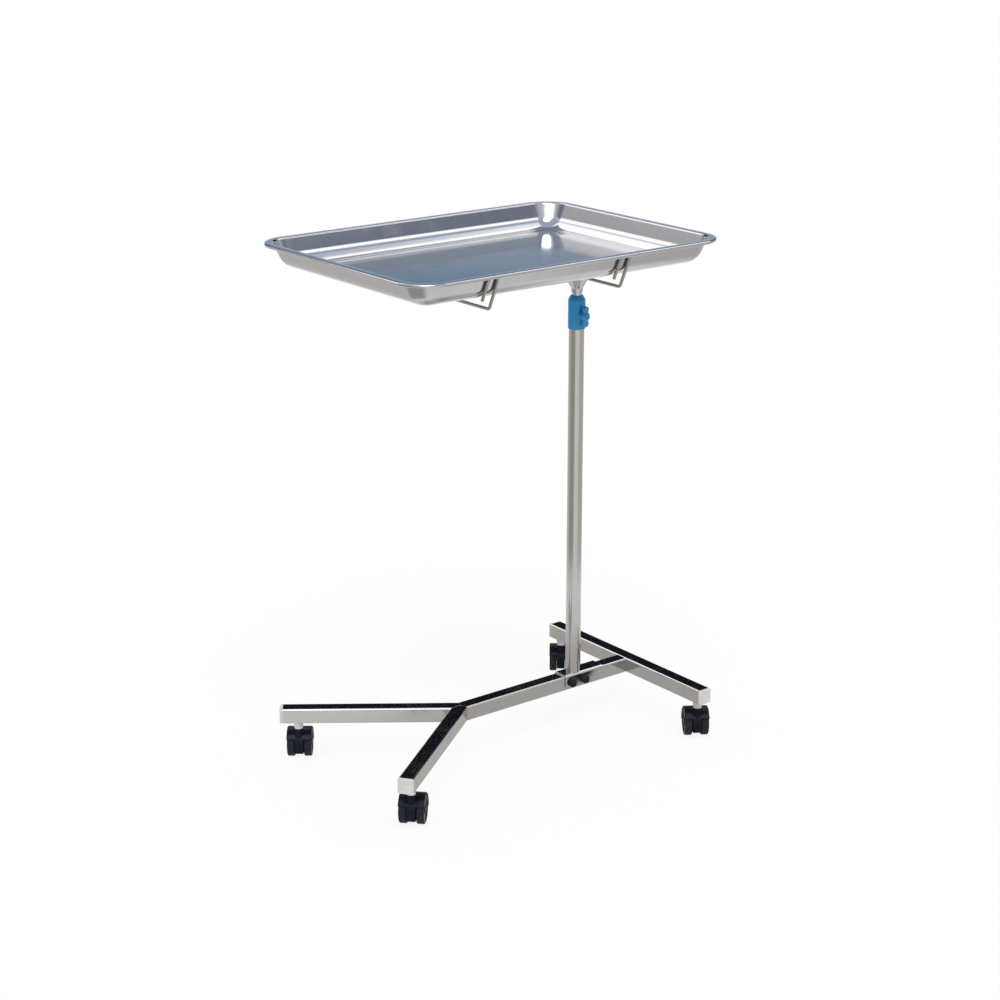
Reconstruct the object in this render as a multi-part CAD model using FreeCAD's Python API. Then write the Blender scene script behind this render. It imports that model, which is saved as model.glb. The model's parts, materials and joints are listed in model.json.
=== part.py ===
import FreeCAD, Part
import math
import os

from FreeCAD import Vector

# Instrument table on castors, in millimetres.
# A level stainless tray hangs on four wire hoops. The hoops belong to two bent rods that cross
# an arm, and the arm is carried by a spun cone on a telescopic post. The post stands off centre
# on a low base of square tube: a fork towards -X, a crossbar at +X, and a castor under each end.
# Everything is drawn with the post on the Z axis and the floor at Z = 0, and is moved at the end
# so that the middle of the footprint is the origin. The height is drawn near its lowest.

# Tray
TRAY_LENGTH = 600.0
TRAY_WIDTH = 440.0
TRAY_DEPTH = 40.0
TRAY_SHEET = 1.0
TRAY_CORNER_RADIUS = 55.0
TRAY_WALL_LEAN = 24.0
TRAY_FLOOR_BEND = 12.0
RIM_HEIGHT = 855.0
RIM_FLAT = 14.0
RIM_LIP = 5.0
RIM_HEM = 4.0
RIM_BEND = 2.2
TRAY_FROM_POST = 173.0

# Hook rods and arm under the tray
ROD_DIAMETER = 5.0
ROD_BEND = 7.0
ROD_BELOW_TRAY = 17.0
ROD_SPACING = 250.0
FORK_ROD_FROM_TRAY_END = 153.0
HOOP_WIDTH = 18.0
HOOP_END_BELOW_FLOOR = 1.0
ARM_WIDTH = 30.0
ARM_HEIGHT = 15.0
ARM_WALL = 1.5
ARM_CORNER = 3.0
ARM_PAST_ROD = 25.0
ARM_PAST_POST = 52.0

# Spun cone between the post and the arm
CONE_SHEET = 1.5
CONE_NECK_LENGTH = 6.0
CONE_HEIGHT = 41.0
CONE_MOUTH_RADIUS = 28.0
CONE_FLANGE_RADIUS = 43.0
CONE_BEND = 6.0
CONE_ABOVE_COLLAR = 5.5
HEAD_SCREW_FROM_POST = 37.0

# Telescopic post
POST_DIAMETER = 25.4
POST_WALL = 1.5
INNER_DIAMETER = 16.0
INNER_WALL = 1.5
INNER_ABOVE_PLUG = 52.5
LEAST_INSERTION = 165.0
TOP_BUSH_LENGTH = 40.0
TOP_BUSH_FLANGE = 1.5
GUIDE_LENGTH = 30.0
BUSH_LEAD = 1.5
STOP_LENGTH = 10.0
STOP_PIN_DIAMETER = 3.0
STOP_PIN_INSET = 1.0
RETAINER_FLANGE = 3.0
RETAINER_LENGTH = 15.0
RETAINER_GAP = 0.6
RETAINER_GROOVE = 0.5
RING_OPENING = 4.0

# Clamp collar and wing knob
COLLAR_LENGTH = 55.0
COLLAR_WALL = 1.4
COLLAR_SHOULDER = 7.0
POST_BELOW_COLLAR_TOP = 14.0
CLAMP_BELOW_COLLAR_TOP = 32.0
CLAMP_BOSS_DIAMETER = 17.0
CLAMP_BOSS_STAND = 3.35
CLAMP_SCREW_DIAMETER = 6.0
CLAMP_SCREW_ROOM = 0.6
CLAMP_INSERT_DIAMETER = 10.0
CLAMP_PAD_DIAMETER = 6.4
KNOB_SPAN = 34.0
KNOB_WING_WIDTH = 11.0
KNOB_WING_THICKNESS = 5.1
KNOB_WING_RISE = 1.7
KNOB_WAIST_WIDTH = 6.8
KNOB_HUB_DIAMETER = 15.2
KNOB_THICKNESS = 8.5
KNOB_BORE_DEPTH = 6.0
KNOB_EDGE = 0.9
KNOB_DOME_EDGE = 2.4
KNOB_GAP = 0.5

# Base of square tube
BEAM_SECTION = 25.0
BEAM_WALL = 1.5
BEAM_CORNER = 2.5
FORK_FROM_POST = 238.0
FORK_CASTOR_FROM_POST = 451.0
FORK_CASTOR_SPREAD = 158.0
FORK_ARM_PAST_CASTOR = 30.0
CROSSBAR_FROM_POST = 122.0
CROSSBAR_LENGTH = 400.0
CROSSBAR_PAST_CASTOR = 20.0
END_CAP_HEAD = 5.0
END_CAP_CROWN = 2.0
END_CAP_PLUG = 6.0
END_CAP_WALL = 2.0
ARM_CAP_HEAD = 3.0

# Saddle that carries the post on the beam
SADDLE_SHEET = 2.5
SADDLE_FORK_SIDE = 27.0
SADDLE_CROSSBAR_SIDE = 55.0
SADDLE_FLANGE = 20.0
SADDLE_BEND = 4.0
SADDLE_BOLT_SPREAD = 14.0
FOOT_PLUG_LENGTH = 28.0

# Fasteners: thread diameter, width across flats, head or nut height
CROSS_BOLT = (6.0, 10.0, 4.0)
HEAD_SCREW = (5.0, 8.0, 3.5)
BOLT_PAST_NUT = 1.5
BOLT_CAP_WALL = 1.2
BOLT_CAP_ROOM = 2.0
BOLT_CAP_DOME = 3.0

# Foot bolt, a cap screw: thread diameter, head diameter, head height, key width
FOOT_BOLT = (10.0, 16.0, 10.0, 8.0)

# Twin-wheel castors
WHEEL_DIAMETER = 46.0
WHEEL_WIDTH = 12.5
WHEEL_TREAD_EDGE = 1.4
WHEEL_RIM = 4.5
WHEEL_DISH = 1.8
WHEEL_RECESS = 7.5
WHEEL_HUB_WALL = 3.2
WHEEL_HUB_FACE = 2.6
WHEEL_RIBS = 6
WHEEL_RIB_THICKNESS = 1.4
WHEEL_RIB_SETBACK = 1.9
CASTOR_TRAIL = 15.0
CASTOR_WEB = 14.0
CASTOR_AXLE_DIAMETER = 6.0
HOOD_SHEET = 2.2
HOOD_EDGE = 1.3
HOOD_CLEARANCE = 1.2
HOOD_REAR_ANGLE = -12.0
HOOD_FRONT_ANGLE = 150.0
HOOD_CHORD_HEIGHT = 11.0
CASTOR_BOSS_DIAMETER = 14.0
CASTOR_BOSS_RISE = 4.6
CASTOR_BOSS_FLOOR = 4.0
STEM_JOURNAL_DIAMETER = 7.8
STEM_JOURNAL_LENGTH = 24.0
STEM_JOURNAL_ROOM = 2.0
STEM_NECK_DIAMETER = 15.0
STEM_NECK_LENGTH = 7.7
STEM_HEX = 14.0
STEM_HEX_HEIGHT = 5.0
STEM_THREAD_DIAMETER = 8.0
STEM_THREAD_LENGTH = 18.0
SOCKET_DIAMETER = 16.0
CASTOR_HEADINGS = {
    "fork_back": 52.0,
    "fork_front": 45.0,
    "crossbar_front": 56.0,
    "crossbar_back": 50.0,
}

# Clearances and small edges
RUNNING_GAP = 0.05
FIXED_GAP = 0.05
SIDE_GAP = 0.5
REST_GAP = 0.3
BOLT_HOLE_GAP = 0.2
TURNED_EDGE = 1.0
MOULDED_EDGE = 0.5

# Aids to drawing: how far a cutter stands past what it cuts, and a large cutter's size
CUTTER_PAST = 1.0
CUTTER_SIZE = 200.0

# Sizes that follow: castors and base
WHEEL_RADIUS = WHEEL_DIAMETER / 2
WHEEL_INNER_FACE = CASTOR_WEB / 2 + SIDE_GAP
WHEEL_OUTER_FACE = WHEEL_INNER_FACE + WHEEL_WIDTH
HOOD_INNER = WHEEL_RADIUS + HOOD_CLEARANCE
HOOD_OUTER = HOOD_INNER + HOOD_SHEET
CASTOR_BOSS_TOP = WHEEL_RADIUS + HOOD_OUTER + CASTOR_BOSS_RISE
STEM_NECK_BOTTOM = CASTOR_BOSS_TOP + REST_GAP
STEM_NECK_TOP = STEM_NECK_BOTTOM + STEM_NECK_LENGTH
BEAM_BOTTOM = STEM_NECK_TOP + STEM_HEX_HEIGHT
BEAM_MIDDLE = BEAM_BOTTOM + BEAM_SECTION / 2
BEAM_TOP = BEAM_BOTTOM + BEAM_SECTION
BEAM_BORE = BEAM_SECTION - 2 * BEAM_WALL
SADDLE_TOP = BEAM_TOP + SADDLE_SHEET
SADDLE_HALF_WIDTH = BEAM_SECTION / 2 + FIXED_GAP + SADDLE_SHEET
FORK_HEADING = math.degrees(math.atan2(FORK_CASTOR_SPREAD, FORK_FROM_POST - FORK_CASTOR_FROM_POST))
CROSSBAR_CASTOR_SPREAD = CROSSBAR_LENGTH / 2 - CROSSBAR_PAST_CASTOR
CASTOR_PLACES = {
    "fork_back": (-FORK_CASTOR_FROM_POST, FORK_CASTOR_SPREAD),
    "fork_front": (-FORK_CASTOR_FROM_POST, -FORK_CASTOR_SPREAD),
    "crossbar_front": (CROSSBAR_FROM_POST, -CROSSBAR_CASTOR_SPREAD),
    "crossbar_back": (CROSSBAR_FROM_POST, CROSSBAR_CASTOR_SPREAD),
}

# Sizes that follow: tray and head
TRAY_BOTTOM = RIM_HEIGHT - TRAY_DEPTH
TRAY_FLOOR_TOP = TRAY_BOTTOM + TRAY_SHEET
WALL_SLOPE = math.tan(math.radians(TRAY_WALL_LEAN))
ROD_RADIUS = ROD_DIAMETER / 2
ROD_LEVEL = TRAY_BOTTOM - ROD_BELOW_TRAY
FORK_ROD_PLACE = FORK_ROD_FROM_TRAY_END - TRAY_FROM_POST - TRAY_LENGTH / 2
HOOK_ROD_PLACES = {
    "fork_side_hook_rod": FORK_ROD_PLACE,
    "post_side_hook_rod": FORK_ROD_PLACE + ROD_SPACING,
}
ARM_FORK_END = FORK_ROD_PLACE - ARM_PAST_ROD
ARM_BOTTOM = ROD_LEVEL - ARM_HEIGHT / 2
CONE_BOTTOM = ARM_BOTTOM - CONE_HEIGHT

# Sizes that follow: post and clamp
POST_RADIUS = POST_DIAMETER / 2
POST_BORE = POST_RADIUS - POST_WALL
INNER_RADIUS = INNER_DIAMETER / 2
INNER_BORE = INNER_RADIUS - INNER_WALL
COLLAR_TOP = CONE_BOTTOM - CONE_ABOVE_COLLAR
COLLAR_BOTTOM = COLLAR_TOP - COLLAR_LENGTH
COLLAR_RADIUS = POST_RADIUS + FIXED_GAP + COLLAR_WALL
CLAMP_HEIGHT = COLLAR_TOP - CLAMP_BELOW_COLLAR_TOP
CLAMP_BOSS_REACH = COLLAR_RADIUS + CLAMP_BOSS_STAND
POST_TOP = COLLAR_TOP - POST_BELOW_COLLAR_TOP
TOP_BUSH_BOTTOM = POST_TOP - TOP_BUSH_LENGTH
INNER_FOOT = SADDLE_TOP + FOOT_PLUG_LENGTH + INNER_ABOVE_PLUG
GUIDE_BOTTOM = INNER_FOOT + REST_GAP
GUIDE_TOP = GUIDE_BOTTOM + GUIDE_LENGTH
STOP_TOP = INNER_FOOT + LEAST_INSERTION - REST_GAP
STOP_PIN_HEIGHT = STOP_TOP - STOP_LENGTH / 2

ORIGIN = Vector(0, 0, 0)
X_AXIS = Vector(1, 0, 0)
Y_AXIS = Vector(0, 1, 0)
Z_AXIS = Vector(0, 0, 1)
BOTH_SIDES = (-1, 1)


# Shared shapes

def level_direction(heading):
    """Unit vector in the floor plane, heading in degrees from +X towards +Y."""
    angle = math.radians(heading)
    return Vector(math.cos(angle), math.sin(angle), 0)


def bent_path(points, bends):
    """Wire of straight runs, with a tangent arc of the given radius at each inner point."""
    edges = []
    start = points[0]
    for before, corner, after, radius in zip(points, points[1:], points[2:], bends):
        back = (before - corner).normalize()
        onward = (after - corner).normalize()
        half_angle = back.getAngle(onward) / 2
        setback = radius / math.tan(half_angle)
        arc_start = corner + back * setback
        arc_end = corner + onward * setback
        inward = (back + onward).normalize()
        arc_middle = corner + inward * (radius / math.sin(half_angle) - radius)
        edges.append(Part.LineSegment(start, arc_start).toShape())
        edges.append(Part.Arc(arc_start, arc_middle, arc_end).toShape())
        start = arc_end
    edges.append(Part.LineSegment(start, points[-1]).toShape())
    return Part.Wire(edges)


def sheet_section(points, bends, thickness):
    """Face of bent sheet whose skin is the path; the thickness lies to the right of it."""
    skin = bent_path(points, bends)
    return skin.makeOffset2D(-thickness, 0, True, True)


def bent_rod(points, bends, radius):
    """Round rod swept along the bent path."""
    path = bent_path(points, bends)
    end_ring = Part.Wire(Part.makeCircle(radius, points[0], points[1] - points[0]))
    return path.makePipeShell([end_ring], True, False)


def bevelled_section(points, bevels):
    """Face inside a closed outline whose corners are cut off by their bevels, 0 for sharp."""
    outline = []
    for before, corner, after, bevel in zip(points[-1:] + points, points, points[1:] + points[:1],
                                            bevels):
        if bevel > 0:
            outline.append(corner + (before - corner).normalize() * bevel)
            outline.append(corner + (after - corner).normalize() * bevel)
        else:
            outline.append(corner)
    return Part.Face(Part.makePolygon(outline + outline[:1]))


def turned(outline):
    """Solid turned about the Z axis from (radius, height) or (radius, height, bevel)."""
    points = [Vector(corner[0], 0, corner[1]) for corner in outline]
    bevels = [corner[2] if len(corner) > 2 else 0 for corner in outline]
    return bevelled_section(points, bevels).revolve(ORIGIN, Z_AXIS, 360)


def ring(outer, inner, bottom, top):
    """Plain sleeve about the Z axis."""
    return turned([(inner, bottom), (outer, bottom), (outer, top), (inner, top)])


def rod_between(radius, start, end):
    """Straight round bar from one point to another."""
    run = end - start
    return Part.makeCylinder(radius, run.Length, start, run)


def cross_rod(radius, x, z, half_length):
    """Straight round bar along Y, as long to the front as to the back."""
    return rod_between(radius, Vector(x, -half_length, z), Vector(x, half_length, z))


def upright_rod(radius, x, y, bottom, top):
    """Straight round bar along Z."""
    return rod_between(radius, Vector(x, y, bottom), Vector(x, y, top))


def drilled(shape, drills):
    """The shape with each drill taken out of it."""
    for drill in drills:
        shape = shape.cut(drill)
    return shape


def rounded_block(length, width, height, radius):
    """Upright block on the XY plane with rounded upright edges, centred on the Z axis."""
    block = Part.makeBox(length, width, height, Vector(-length / 2, -width / 2, 0))
    upright = [edge for edge in block.Edges if edge.BoundBox.ZLength > height / 2]
    return block.makeFillet(radius, upright)


def top_rim(shape):
    """The edges that lie in the highest plane of a shape."""
    top = shape.BoundBox.ZMax
    return [edge for edge in shape.Edges if edge.BoundBox.ZMin > top - FIXED_GAP]


def hex_prism(across_flats, height):
    """Hexagonal prism on the XY plane, with two corners on the X axis."""
    corner_radius = across_flats / math.sqrt(3)
    corners = [level_direction(60 * turn) * corner_radius for turn in range(7)]
    return Part.Face(Part.makePolygon(corners)).extrude(Z_AXIS * height)


def hex_head(across_flats, height):
    """Hexagon with its corners turned off on top."""
    corner_radius = across_flats / math.sqrt(3)
    bevel = corner_radius - across_flats / 2
    blank = turned([
        (0, 0),
        (corner_radius, 0),
        (corner_radius, height - bevel / 2),
        (corner_radius - bevel, height),
        (0, height),
    ])
    return hex_prism(across_flats, height).common(blank)


def hex_bolt(sizes, length):
    """Bolt along +Z with its head below the XY plane and its shank above."""
    thread, flats, head = sizes
    cap = hex_head(flats, head).mirror(ORIGIN, Z_AXIS)
    shank = turned([
        (0, -head / 2),
        (thread / 2, -head / 2),
        (thread / 2, length, thread / 8),
        (0, length),
    ])
    return cap.fuse(shank)


def hex_nut(sizes):
    """Nut standing on the XY plane."""
    thread, flats, height = sizes
    bore = Part.makeCylinder(thread / 2 + FIXED_GAP, height)
    return hex_head(flats, height).cut(bore)


def aimed(shape, direction, place):
    """Turn the shape's own +Z towards a direction and move its origin to a place."""
    result = shape.copy()
    result.Placement = FreeCAD.Placement(place, FreeCAD.Rotation(Z_AXIS, direction))
    return result


def moved(shape, x, y, z):
    """Copy of the shape, moved."""
    result = shape.copy()
    result.translate(Vector(x, y, z))
    return result


def far_side(place, heading):
    """Cutter block on the far side of an upright plane that faces the heading."""
    block = Part.makeBox(CUTTER_SIZE, CUTTER_SIZE, CUTTER_SIZE,
                         Vector(0, -CUTTER_SIZE / 2, -CUTTER_SIZE / 2))
    block.rotate(ORIGIN, Z_AXIS, heading)
    block.translate(place)
    return block


# Tray

def tray_section():
    """Half section of the tray sheet: floor, leaning wall, flat rim, lip and turned-in hem."""
    wall_top = TRAY_CORNER_RADIUS - RIM_FLAT
    wall_foot = wall_top - (RIM_HEIGHT - TRAY_FLOOR_TOP) * WALL_SLOPE
    points = [
        Vector(0, 0, TRAY_FLOOR_TOP),
        Vector(wall_foot, 0, TRAY_FLOOR_TOP),
        Vector(wall_top, 0, RIM_HEIGHT),
        Vector(TRAY_CORNER_RADIUS, 0, RIM_HEIGHT),
        Vector(TRAY_CORNER_RADIUS, 0, RIM_HEIGHT - RIM_LIP),
        Vector(TRAY_CORNER_RADIUS - RIM_HEM, 0, RIM_HEIGHT - RIM_LIP),
    ]
    bends = [TRAY_FLOOR_BEND, RIM_BEND + TRAY_SHEET, RIM_BEND, RIM_BEND]
    return sheet_section(points, bends, TRAY_SHEET)


def tray():
    """Pressed tray: one section, drawn straight along the sides and turned at the corners."""
    half_straight_x = TRAY_LENGTH / 2 - TRAY_CORNER_RADIUS
    half_straight_y = TRAY_WIDTH / 2 - TRAY_CORNER_RADIUS
    section = tray_section()
    pieces = []
    for quarter, (sign_x, sign_y) in enumerate([(1, 1), (-1, 1), (-1, -1), (1, -1)]):
        corner = section.revolve(ORIGIN, Z_AXIS, 90)
        corner.rotate(ORIGIN, Z_AXIS, 90 * quarter)
        pieces.append(moved(corner, sign_x * half_straight_x, sign_y * half_straight_y, 0))
        along = half_straight_y if quarter % 2 == 0 else half_straight_x
        out = half_straight_x if quarter % 2 == 0 else half_straight_y
        side = moved(section.extrude(Y_AXIS * (2 * along)), out, -along, 0)
        side.rotate(ORIGIN, Z_AXIS, 90 * quarter)
        pieces.append(side)
    floor = Part.makeBox(2 * half_straight_x, 2 * half_straight_y, TRAY_SHEET,
                         Vector(-half_straight_x, -half_straight_y, TRAY_BOTTOM))
    return moved(floor.multiFuse(pieces).removeSplitter(), -TRAY_FROM_POST, 0, 0)


# Support head under the tray

def strand_y(height):
    """Distance from the middle plane to a hoop strand, which follows the leaning wall."""
    skin = TRAY_WIDTH / 2 - RIM_FLAT - (RIM_HEIGHT - height) * WALL_SLOPE
    outward = TRAY_SHEET + REST_GAP + ROD_RADIUS
    return skin + outward / math.cos(math.radians(TRAY_WALL_LEAN))


def hook_rod(place):
    """One bent rod: a level run across the arm, with a hoop up the tray wall at both ends."""
    hoop_top = RIM_HEIGHT - TRAY_SHEET - REST_GAP - ROD_RADIUS
    hoop_end = TRAY_BOTTOM - HOOP_END_BELOW_FLOOR
    returning = place - HOOP_WIDTH
    half = [
        Vector(returning, strand_y(hoop_end), hoop_end),
        Vector(returning, strand_y(hoop_top), hoop_top),
        Vector(place, strand_y(hoop_top), hoop_top),
        Vector(place, strand_y(ROD_LEVEL), ROD_LEVEL),
    ]
    other_half = [Vector(point.x, -point.y, point.z) for point in reversed(half)]
    hoop_bend = HOOP_WIDTH / 2 - REST_GAP
    bends = [hoop_bend, hoop_bend, ROD_BEND, ROD_BEND, hoop_bend, hoop_bend]
    return bent_rod(half + other_half, bends, ROD_RADIUS)


def head_screw_holes(bottom, top):
    """Drills for the two head screws between two levels."""
    radius = HEAD_SCREW[0] / 2 + BOLT_HOLE_GAP
    return [upright_rod(radius, side * HEAD_SCREW_FROM_POST, 0, bottom, top)
            for side in BOTH_SIDES]


def tray_arm():
    """Rectangular tube under the tray, bored for the hook rods and for the head screws."""
    length = ARM_PAST_POST - ARM_FORK_END
    outer = rounded_block(ARM_HEIGHT, ARM_WIDTH, length, ARM_CORNER)
    inner = rounded_block(ARM_HEIGHT - 2 * ARM_WALL, ARM_WIDTH - 2 * ARM_WALL, length,
                          ARM_CORNER - ARM_WALL)
    arm = aimed(outer.cut(inner), X_AXIS, Vector(ARM_FORK_END, 0, ROD_LEVEL))
    rod_holes = [cross_rod(ROD_RADIUS + FIXED_GAP, place, ROD_LEVEL, ARM_WIDTH)
                 for place in HOOK_ROD_PLACES.values()]
    screw_holes = head_screw_holes(ARM_BOTTOM - CUTTER_PAST, ROD_LEVEL)
    return drilled(arm, rod_holes + screw_holes)


def arm_end_cap():
    """Moulded plug for the arm: a rounded head and a hollow spigot, pointing along +Z."""
    head = rounded_block(ARM_HEIGHT, ARM_WIDTH, ARM_CAP_HEAD, ARM_CORNER)
    head = head.makeChamfer(ARM_CAP_HEAD / 2, top_rim(head))
    room = 2 * (ARM_WALL + FIXED_GAP)
    corner = ARM_CORNER - ARM_WALL
    spigot = rounded_block(ARM_HEIGHT - room, ARM_WIDTH - room, END_CAP_PLUG, corner)
    hollow = rounded_block(ARM_HEIGHT - room - 2 * END_CAP_WALL,
                           ARM_WIDTH - room - 2 * END_CAP_WALL, END_CAP_PLUG, corner)
    return head.fuse(moved(spigot.cut(hollow), 0, 0, -END_CAP_PLUG))


def arm_end_caps():
    """The two plugs in the ends of the arm."""
    cap = arm_end_cap()
    fork_cap = aimed(cap, X_AXIS * -1, Vector(ARM_FORK_END, 0, ROD_LEVEL))
    post_cap = aimed(cap, X_AXIS, Vector(ARM_PAST_POST, 0, ROD_LEVEL))
    return Part.makeCompound([fork_cap, post_cap])


def support_cone():
    """Spun cone: a neck round the inner tube, a flared wall and a flat flange with two holes."""
    neck = INNER_RADIUS + FIXED_GAP
    points = [
        Vector(neck, 0, CONE_BOTTOM),
        Vector(neck, 0, CONE_BOTTOM + CONE_NECK_LENGTH),
        Vector(CONE_MOUTH_RADIUS, 0, ARM_BOTTOM),
        Vector(CONE_FLANGE_RADIUS, 0, ARM_BOTTOM),
    ]
    section = sheet_section(points, [CONE_BEND, CONE_BEND], CONE_SHEET)
    cone = section.revolve(ORIGIN, Z_AXIS, 360)
    return drilled(cone, head_screw_holes(ARM_BOTTOM - CONE_SHEET - CUTTER_PAST,
                                          ARM_BOTTOM + CUTTER_PAST))


def head_screws():
    """The two screws that hold the cone's flange to the arm, heads below."""
    length = CONE_SHEET + ARM_WALL + HEAD_SCREW[2] + BOLT_PAST_NUT
    screw = hex_bolt(HEAD_SCREW, length)
    level = ARM_BOTTOM - CONE_SHEET
    return Part.makeCompound([moved(screw, side * HEAD_SCREW_FROM_POST, 0, level)
                              for side in BOTH_SIDES])


def head_nuts():
    """The nuts of the head screws, inside the arm."""
    nut = hex_nut(HEAD_SCREW)
    return Part.makeCompound([moved(nut, side * HEAD_SCREW_FROM_POST, 0, ARM_BOTTOM + ARM_WALL)
                              for side in BOTH_SIDES])


# Telescopic post

def front_drill(radius):
    """Level drill from the post's axis out to the front, at the height of the clamp."""
    return rod_between(radius, Vector(0, 0, CLAMP_HEIGHT),
                       Vector(0, -2 * CLAMP_BOSS_REACH, CLAMP_HEIGHT))


def outer_tube():
    """Outer post tube, drilled on the front for the clamp screw."""
    tube = ring(POST_RADIUS, POST_BORE, SADDLE_TOP, POST_TOP)
    return tube.cut(front_drill(CLAMP_SCREW_DIAMETER / 2 + CLAMP_SCREW_ROOM))


def foot_plug():
    """Threaded steel plug in the foot of the outer tube."""
    return ring(POST_BORE - FIXED_GAP, FOOT_BOLT[0] / 2 + FIXED_GAP, SADDLE_TOP,
                SADDLE_TOP + FOOT_PLUG_LENGTH)


def foot_bolt():
    """Cap screw with its head inside the beam, up through the saddle into the foot plug."""
    thread, head, head_height, key = FOOT_BOLT
    length = BEAM_WALL + FOOT_PLUG_LENGTH
    bolt = turned([
        (0, -head_height),
        (head / 2, -head_height, TURNED_EDGE),
        (head / 2, 0),
        (thread / 2, 0),
        (thread / 2, length, thread / 8),
        (0, length),
    ])
    key_socket = moved(hex_prism(key, head_height / 2), 0, 0, -head_height)
    return moved(bolt.cut(key_socket), 0, 0, BEAM_TOP - BEAM_WALL)


def top_bush():
    """Flanged plastic bush in the mouth of the outer tube, with a side hole for the pad."""
    bore = INNER_RADIUS + RUNNING_GAP
    outer = POST_BORE - FIXED_GAP
    lead = min(BUSH_LEAD, (outer - bore) / 3)
    bush = turned([
        (bore, TOP_BUSH_BOTTOM),
        (outer - lead, TOP_BUSH_BOTTOM),
        (outer, TOP_BUSH_BOTTOM + 2 * lead),
        (outer, POST_TOP),
        (POST_RADIUS, POST_TOP),
        (POST_RADIUS, POST_TOP + TOP_BUSH_FLANGE),
        (bore, POST_TOP + TOP_BUSH_FLANGE),
    ])
    return bush.cut(front_drill(CLAMP_PAD_DIAMETER / 2 + FIXED_GAP))


def clamp_pad():
    """Pressure pad between the screw's tip and the inner tube, hollowed to the tube."""
    pad = rod_between(CLAMP_PAD_DIAMETER / 2, Vector(0, 0, CLAMP_HEIGHT),
                      Vector(0, -POST_BORE, CLAMP_HEIGHT))
    tube_room = upright_rod(INNER_RADIUS + RUNNING_GAP, 0, 0, CLAMP_HEIGHT - CLAMP_PAD_DIAMETER,
                            CLAMP_HEIGHT + CLAMP_PAD_DIAMETER)
    return pad.cut(tube_room)


def clamp_collar():
    """Moulded collar over the top of the post: a slim sleeve, a sloped shoulder and a boss."""
    mouth = INNER_RADIUS + REST_GAP
    outside = turned([
        (0, COLLAR_BOTTOM),
        (COLLAR_RADIUS, COLLAR_BOTTOM, MOULDED_EDGE),
        (COLLAR_RADIUS, COLLAR_TOP - COLLAR_SHOULDER, COLLAR_WALL),
        (mouth + COLLAR_WALL, COLLAR_TOP, MOULDED_EDGE),
        (0, COLLAR_TOP),
    ])
    boss = rod_between(CLAMP_BOSS_DIAMETER / 2, Vector(0, 0, CLAMP_HEIGHT),
                       Vector(0, -CLAMP_BOSS_REACH, CLAMP_HEIGHT))
    collar = outside.fuse(boss)
    bore = POST_RADIUS + FIXED_GAP
    shoulder_inside = POST_TOP + TOP_BUSH_FLANGE + FIXED_GAP
    inside = turned([
        (0, COLLAR_BOTTOM - CUTTER_PAST),
        (bore, COLLAR_BOTTOM - CUTTER_PAST),
        (bore, shoulder_inside),
        (mouth, shoulder_inside),
        (mouth, COLLAR_TOP + CUTTER_PAST),
        (0, COLLAR_TOP + CUTTER_PAST),
    ])
    return drilled(collar, [inside, front_drill(CLAMP_INSERT_DIAMETER / 2 + FIXED_GAP)])


def clamp_insert():
    """Brass threaded insert in the collar's boss, in front of the outer tube."""
    start = POST_RADIUS + REST_GAP
    sleeve = ring(CLAMP_INSERT_DIAMETER / 2, CLAMP_SCREW_DIAMETER / 2 + RUNNING_GAP, 0,
                  CLAMP_BOSS_REACH - start)
    return aimed(sleeve, Y_AXIS * -1, Vector(0, -start, CLAMP_HEIGHT))


def clamp_screw():
    """Screw that runs in the insert, from inside the knob to just short of the pad."""
    start = POST_BORE + RUNNING_GAP
    end = CLAMP_BOSS_REACH + KNOB_GAP + KNOB_BORE_DEPTH - FIXED_GAP
    return rod_between(CLAMP_SCREW_DIAMETER / 2, Vector(0, -start, CLAMP_HEIGHT),
                       Vector(0, -end, CLAMP_HEIGHT))


def knob_wings():
    """The knob's two wings in one bar: round ends, a tangent waist and a bevelled outer rim."""
    end = KNOB_WING_WIDTH / 2
    waist = KNOB_WAIST_WIDTH / 2
    tip = Vector(0, KNOB_SPAN / 2, 0)
    end_middle = Vector(0, tip.y - end, 0)
    hollow = (end_middle.y ** 2 + waist ** 2 - end ** 2) / (2 * (end - waist))
    touch = end_middle + (Vector(hollow + waist, 0, 0) - end_middle).normalize() * end
    corners = [Vector(x * touch.x, y * touch.y, 0) for x, y in ((1, 1), (-1, 1), (-1, -1), (1, -1))]
    middles = [tip, Vector(-waist, 0, 0), tip * -1, Vector(waist, 0, 0)]
    arcs = [Part.Arc(start, middle, finish).toShape()
            for start, middle, finish in zip(corners, middles, corners[1:] + corners[:1])]
    wings = Part.Face(Part.Wire(arcs)).extrude(Z_AXIS * KNOB_WING_THICKNESS)
    return wings.makeChamfer(KNOB_EDGE, top_rim(wings))


def wing_knob():
    """Moulded wing knob: two rounded wings across a domed hub, bored for the screw."""
    hub_radius = KNOB_HUB_DIAMETER / 2
    hub = turned([
        (0, 0),
        (hub_radius, 0, KNOB_EDGE),
        (hub_radius, KNOB_THICKNESS, KNOB_DOME_EDGE),
        (0, KNOB_THICKNESS),
    ])
    bore = Part.makeCylinder(CLAMP_SCREW_DIAMETER / 2 + FIXED_GAP / 2, KNOB_BORE_DEPTH)
    knob = moved(knob_wings(), 0, 0, KNOB_WING_RISE).fuse(hub).cut(bore)
    return aimed(knob, Y_AXIS * -1, Vector(0, -CLAMP_BOSS_REACH - KNOB_GAP, CLAMP_HEIGHT))


def stop_pin_hole():
    """Cross drill for the stop pin."""
    return cross_rod(STOP_PIN_DIAMETER / 2 + FIXED_GAP, 0, STOP_PIN_HEIGHT, POST_DIAMETER)


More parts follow.
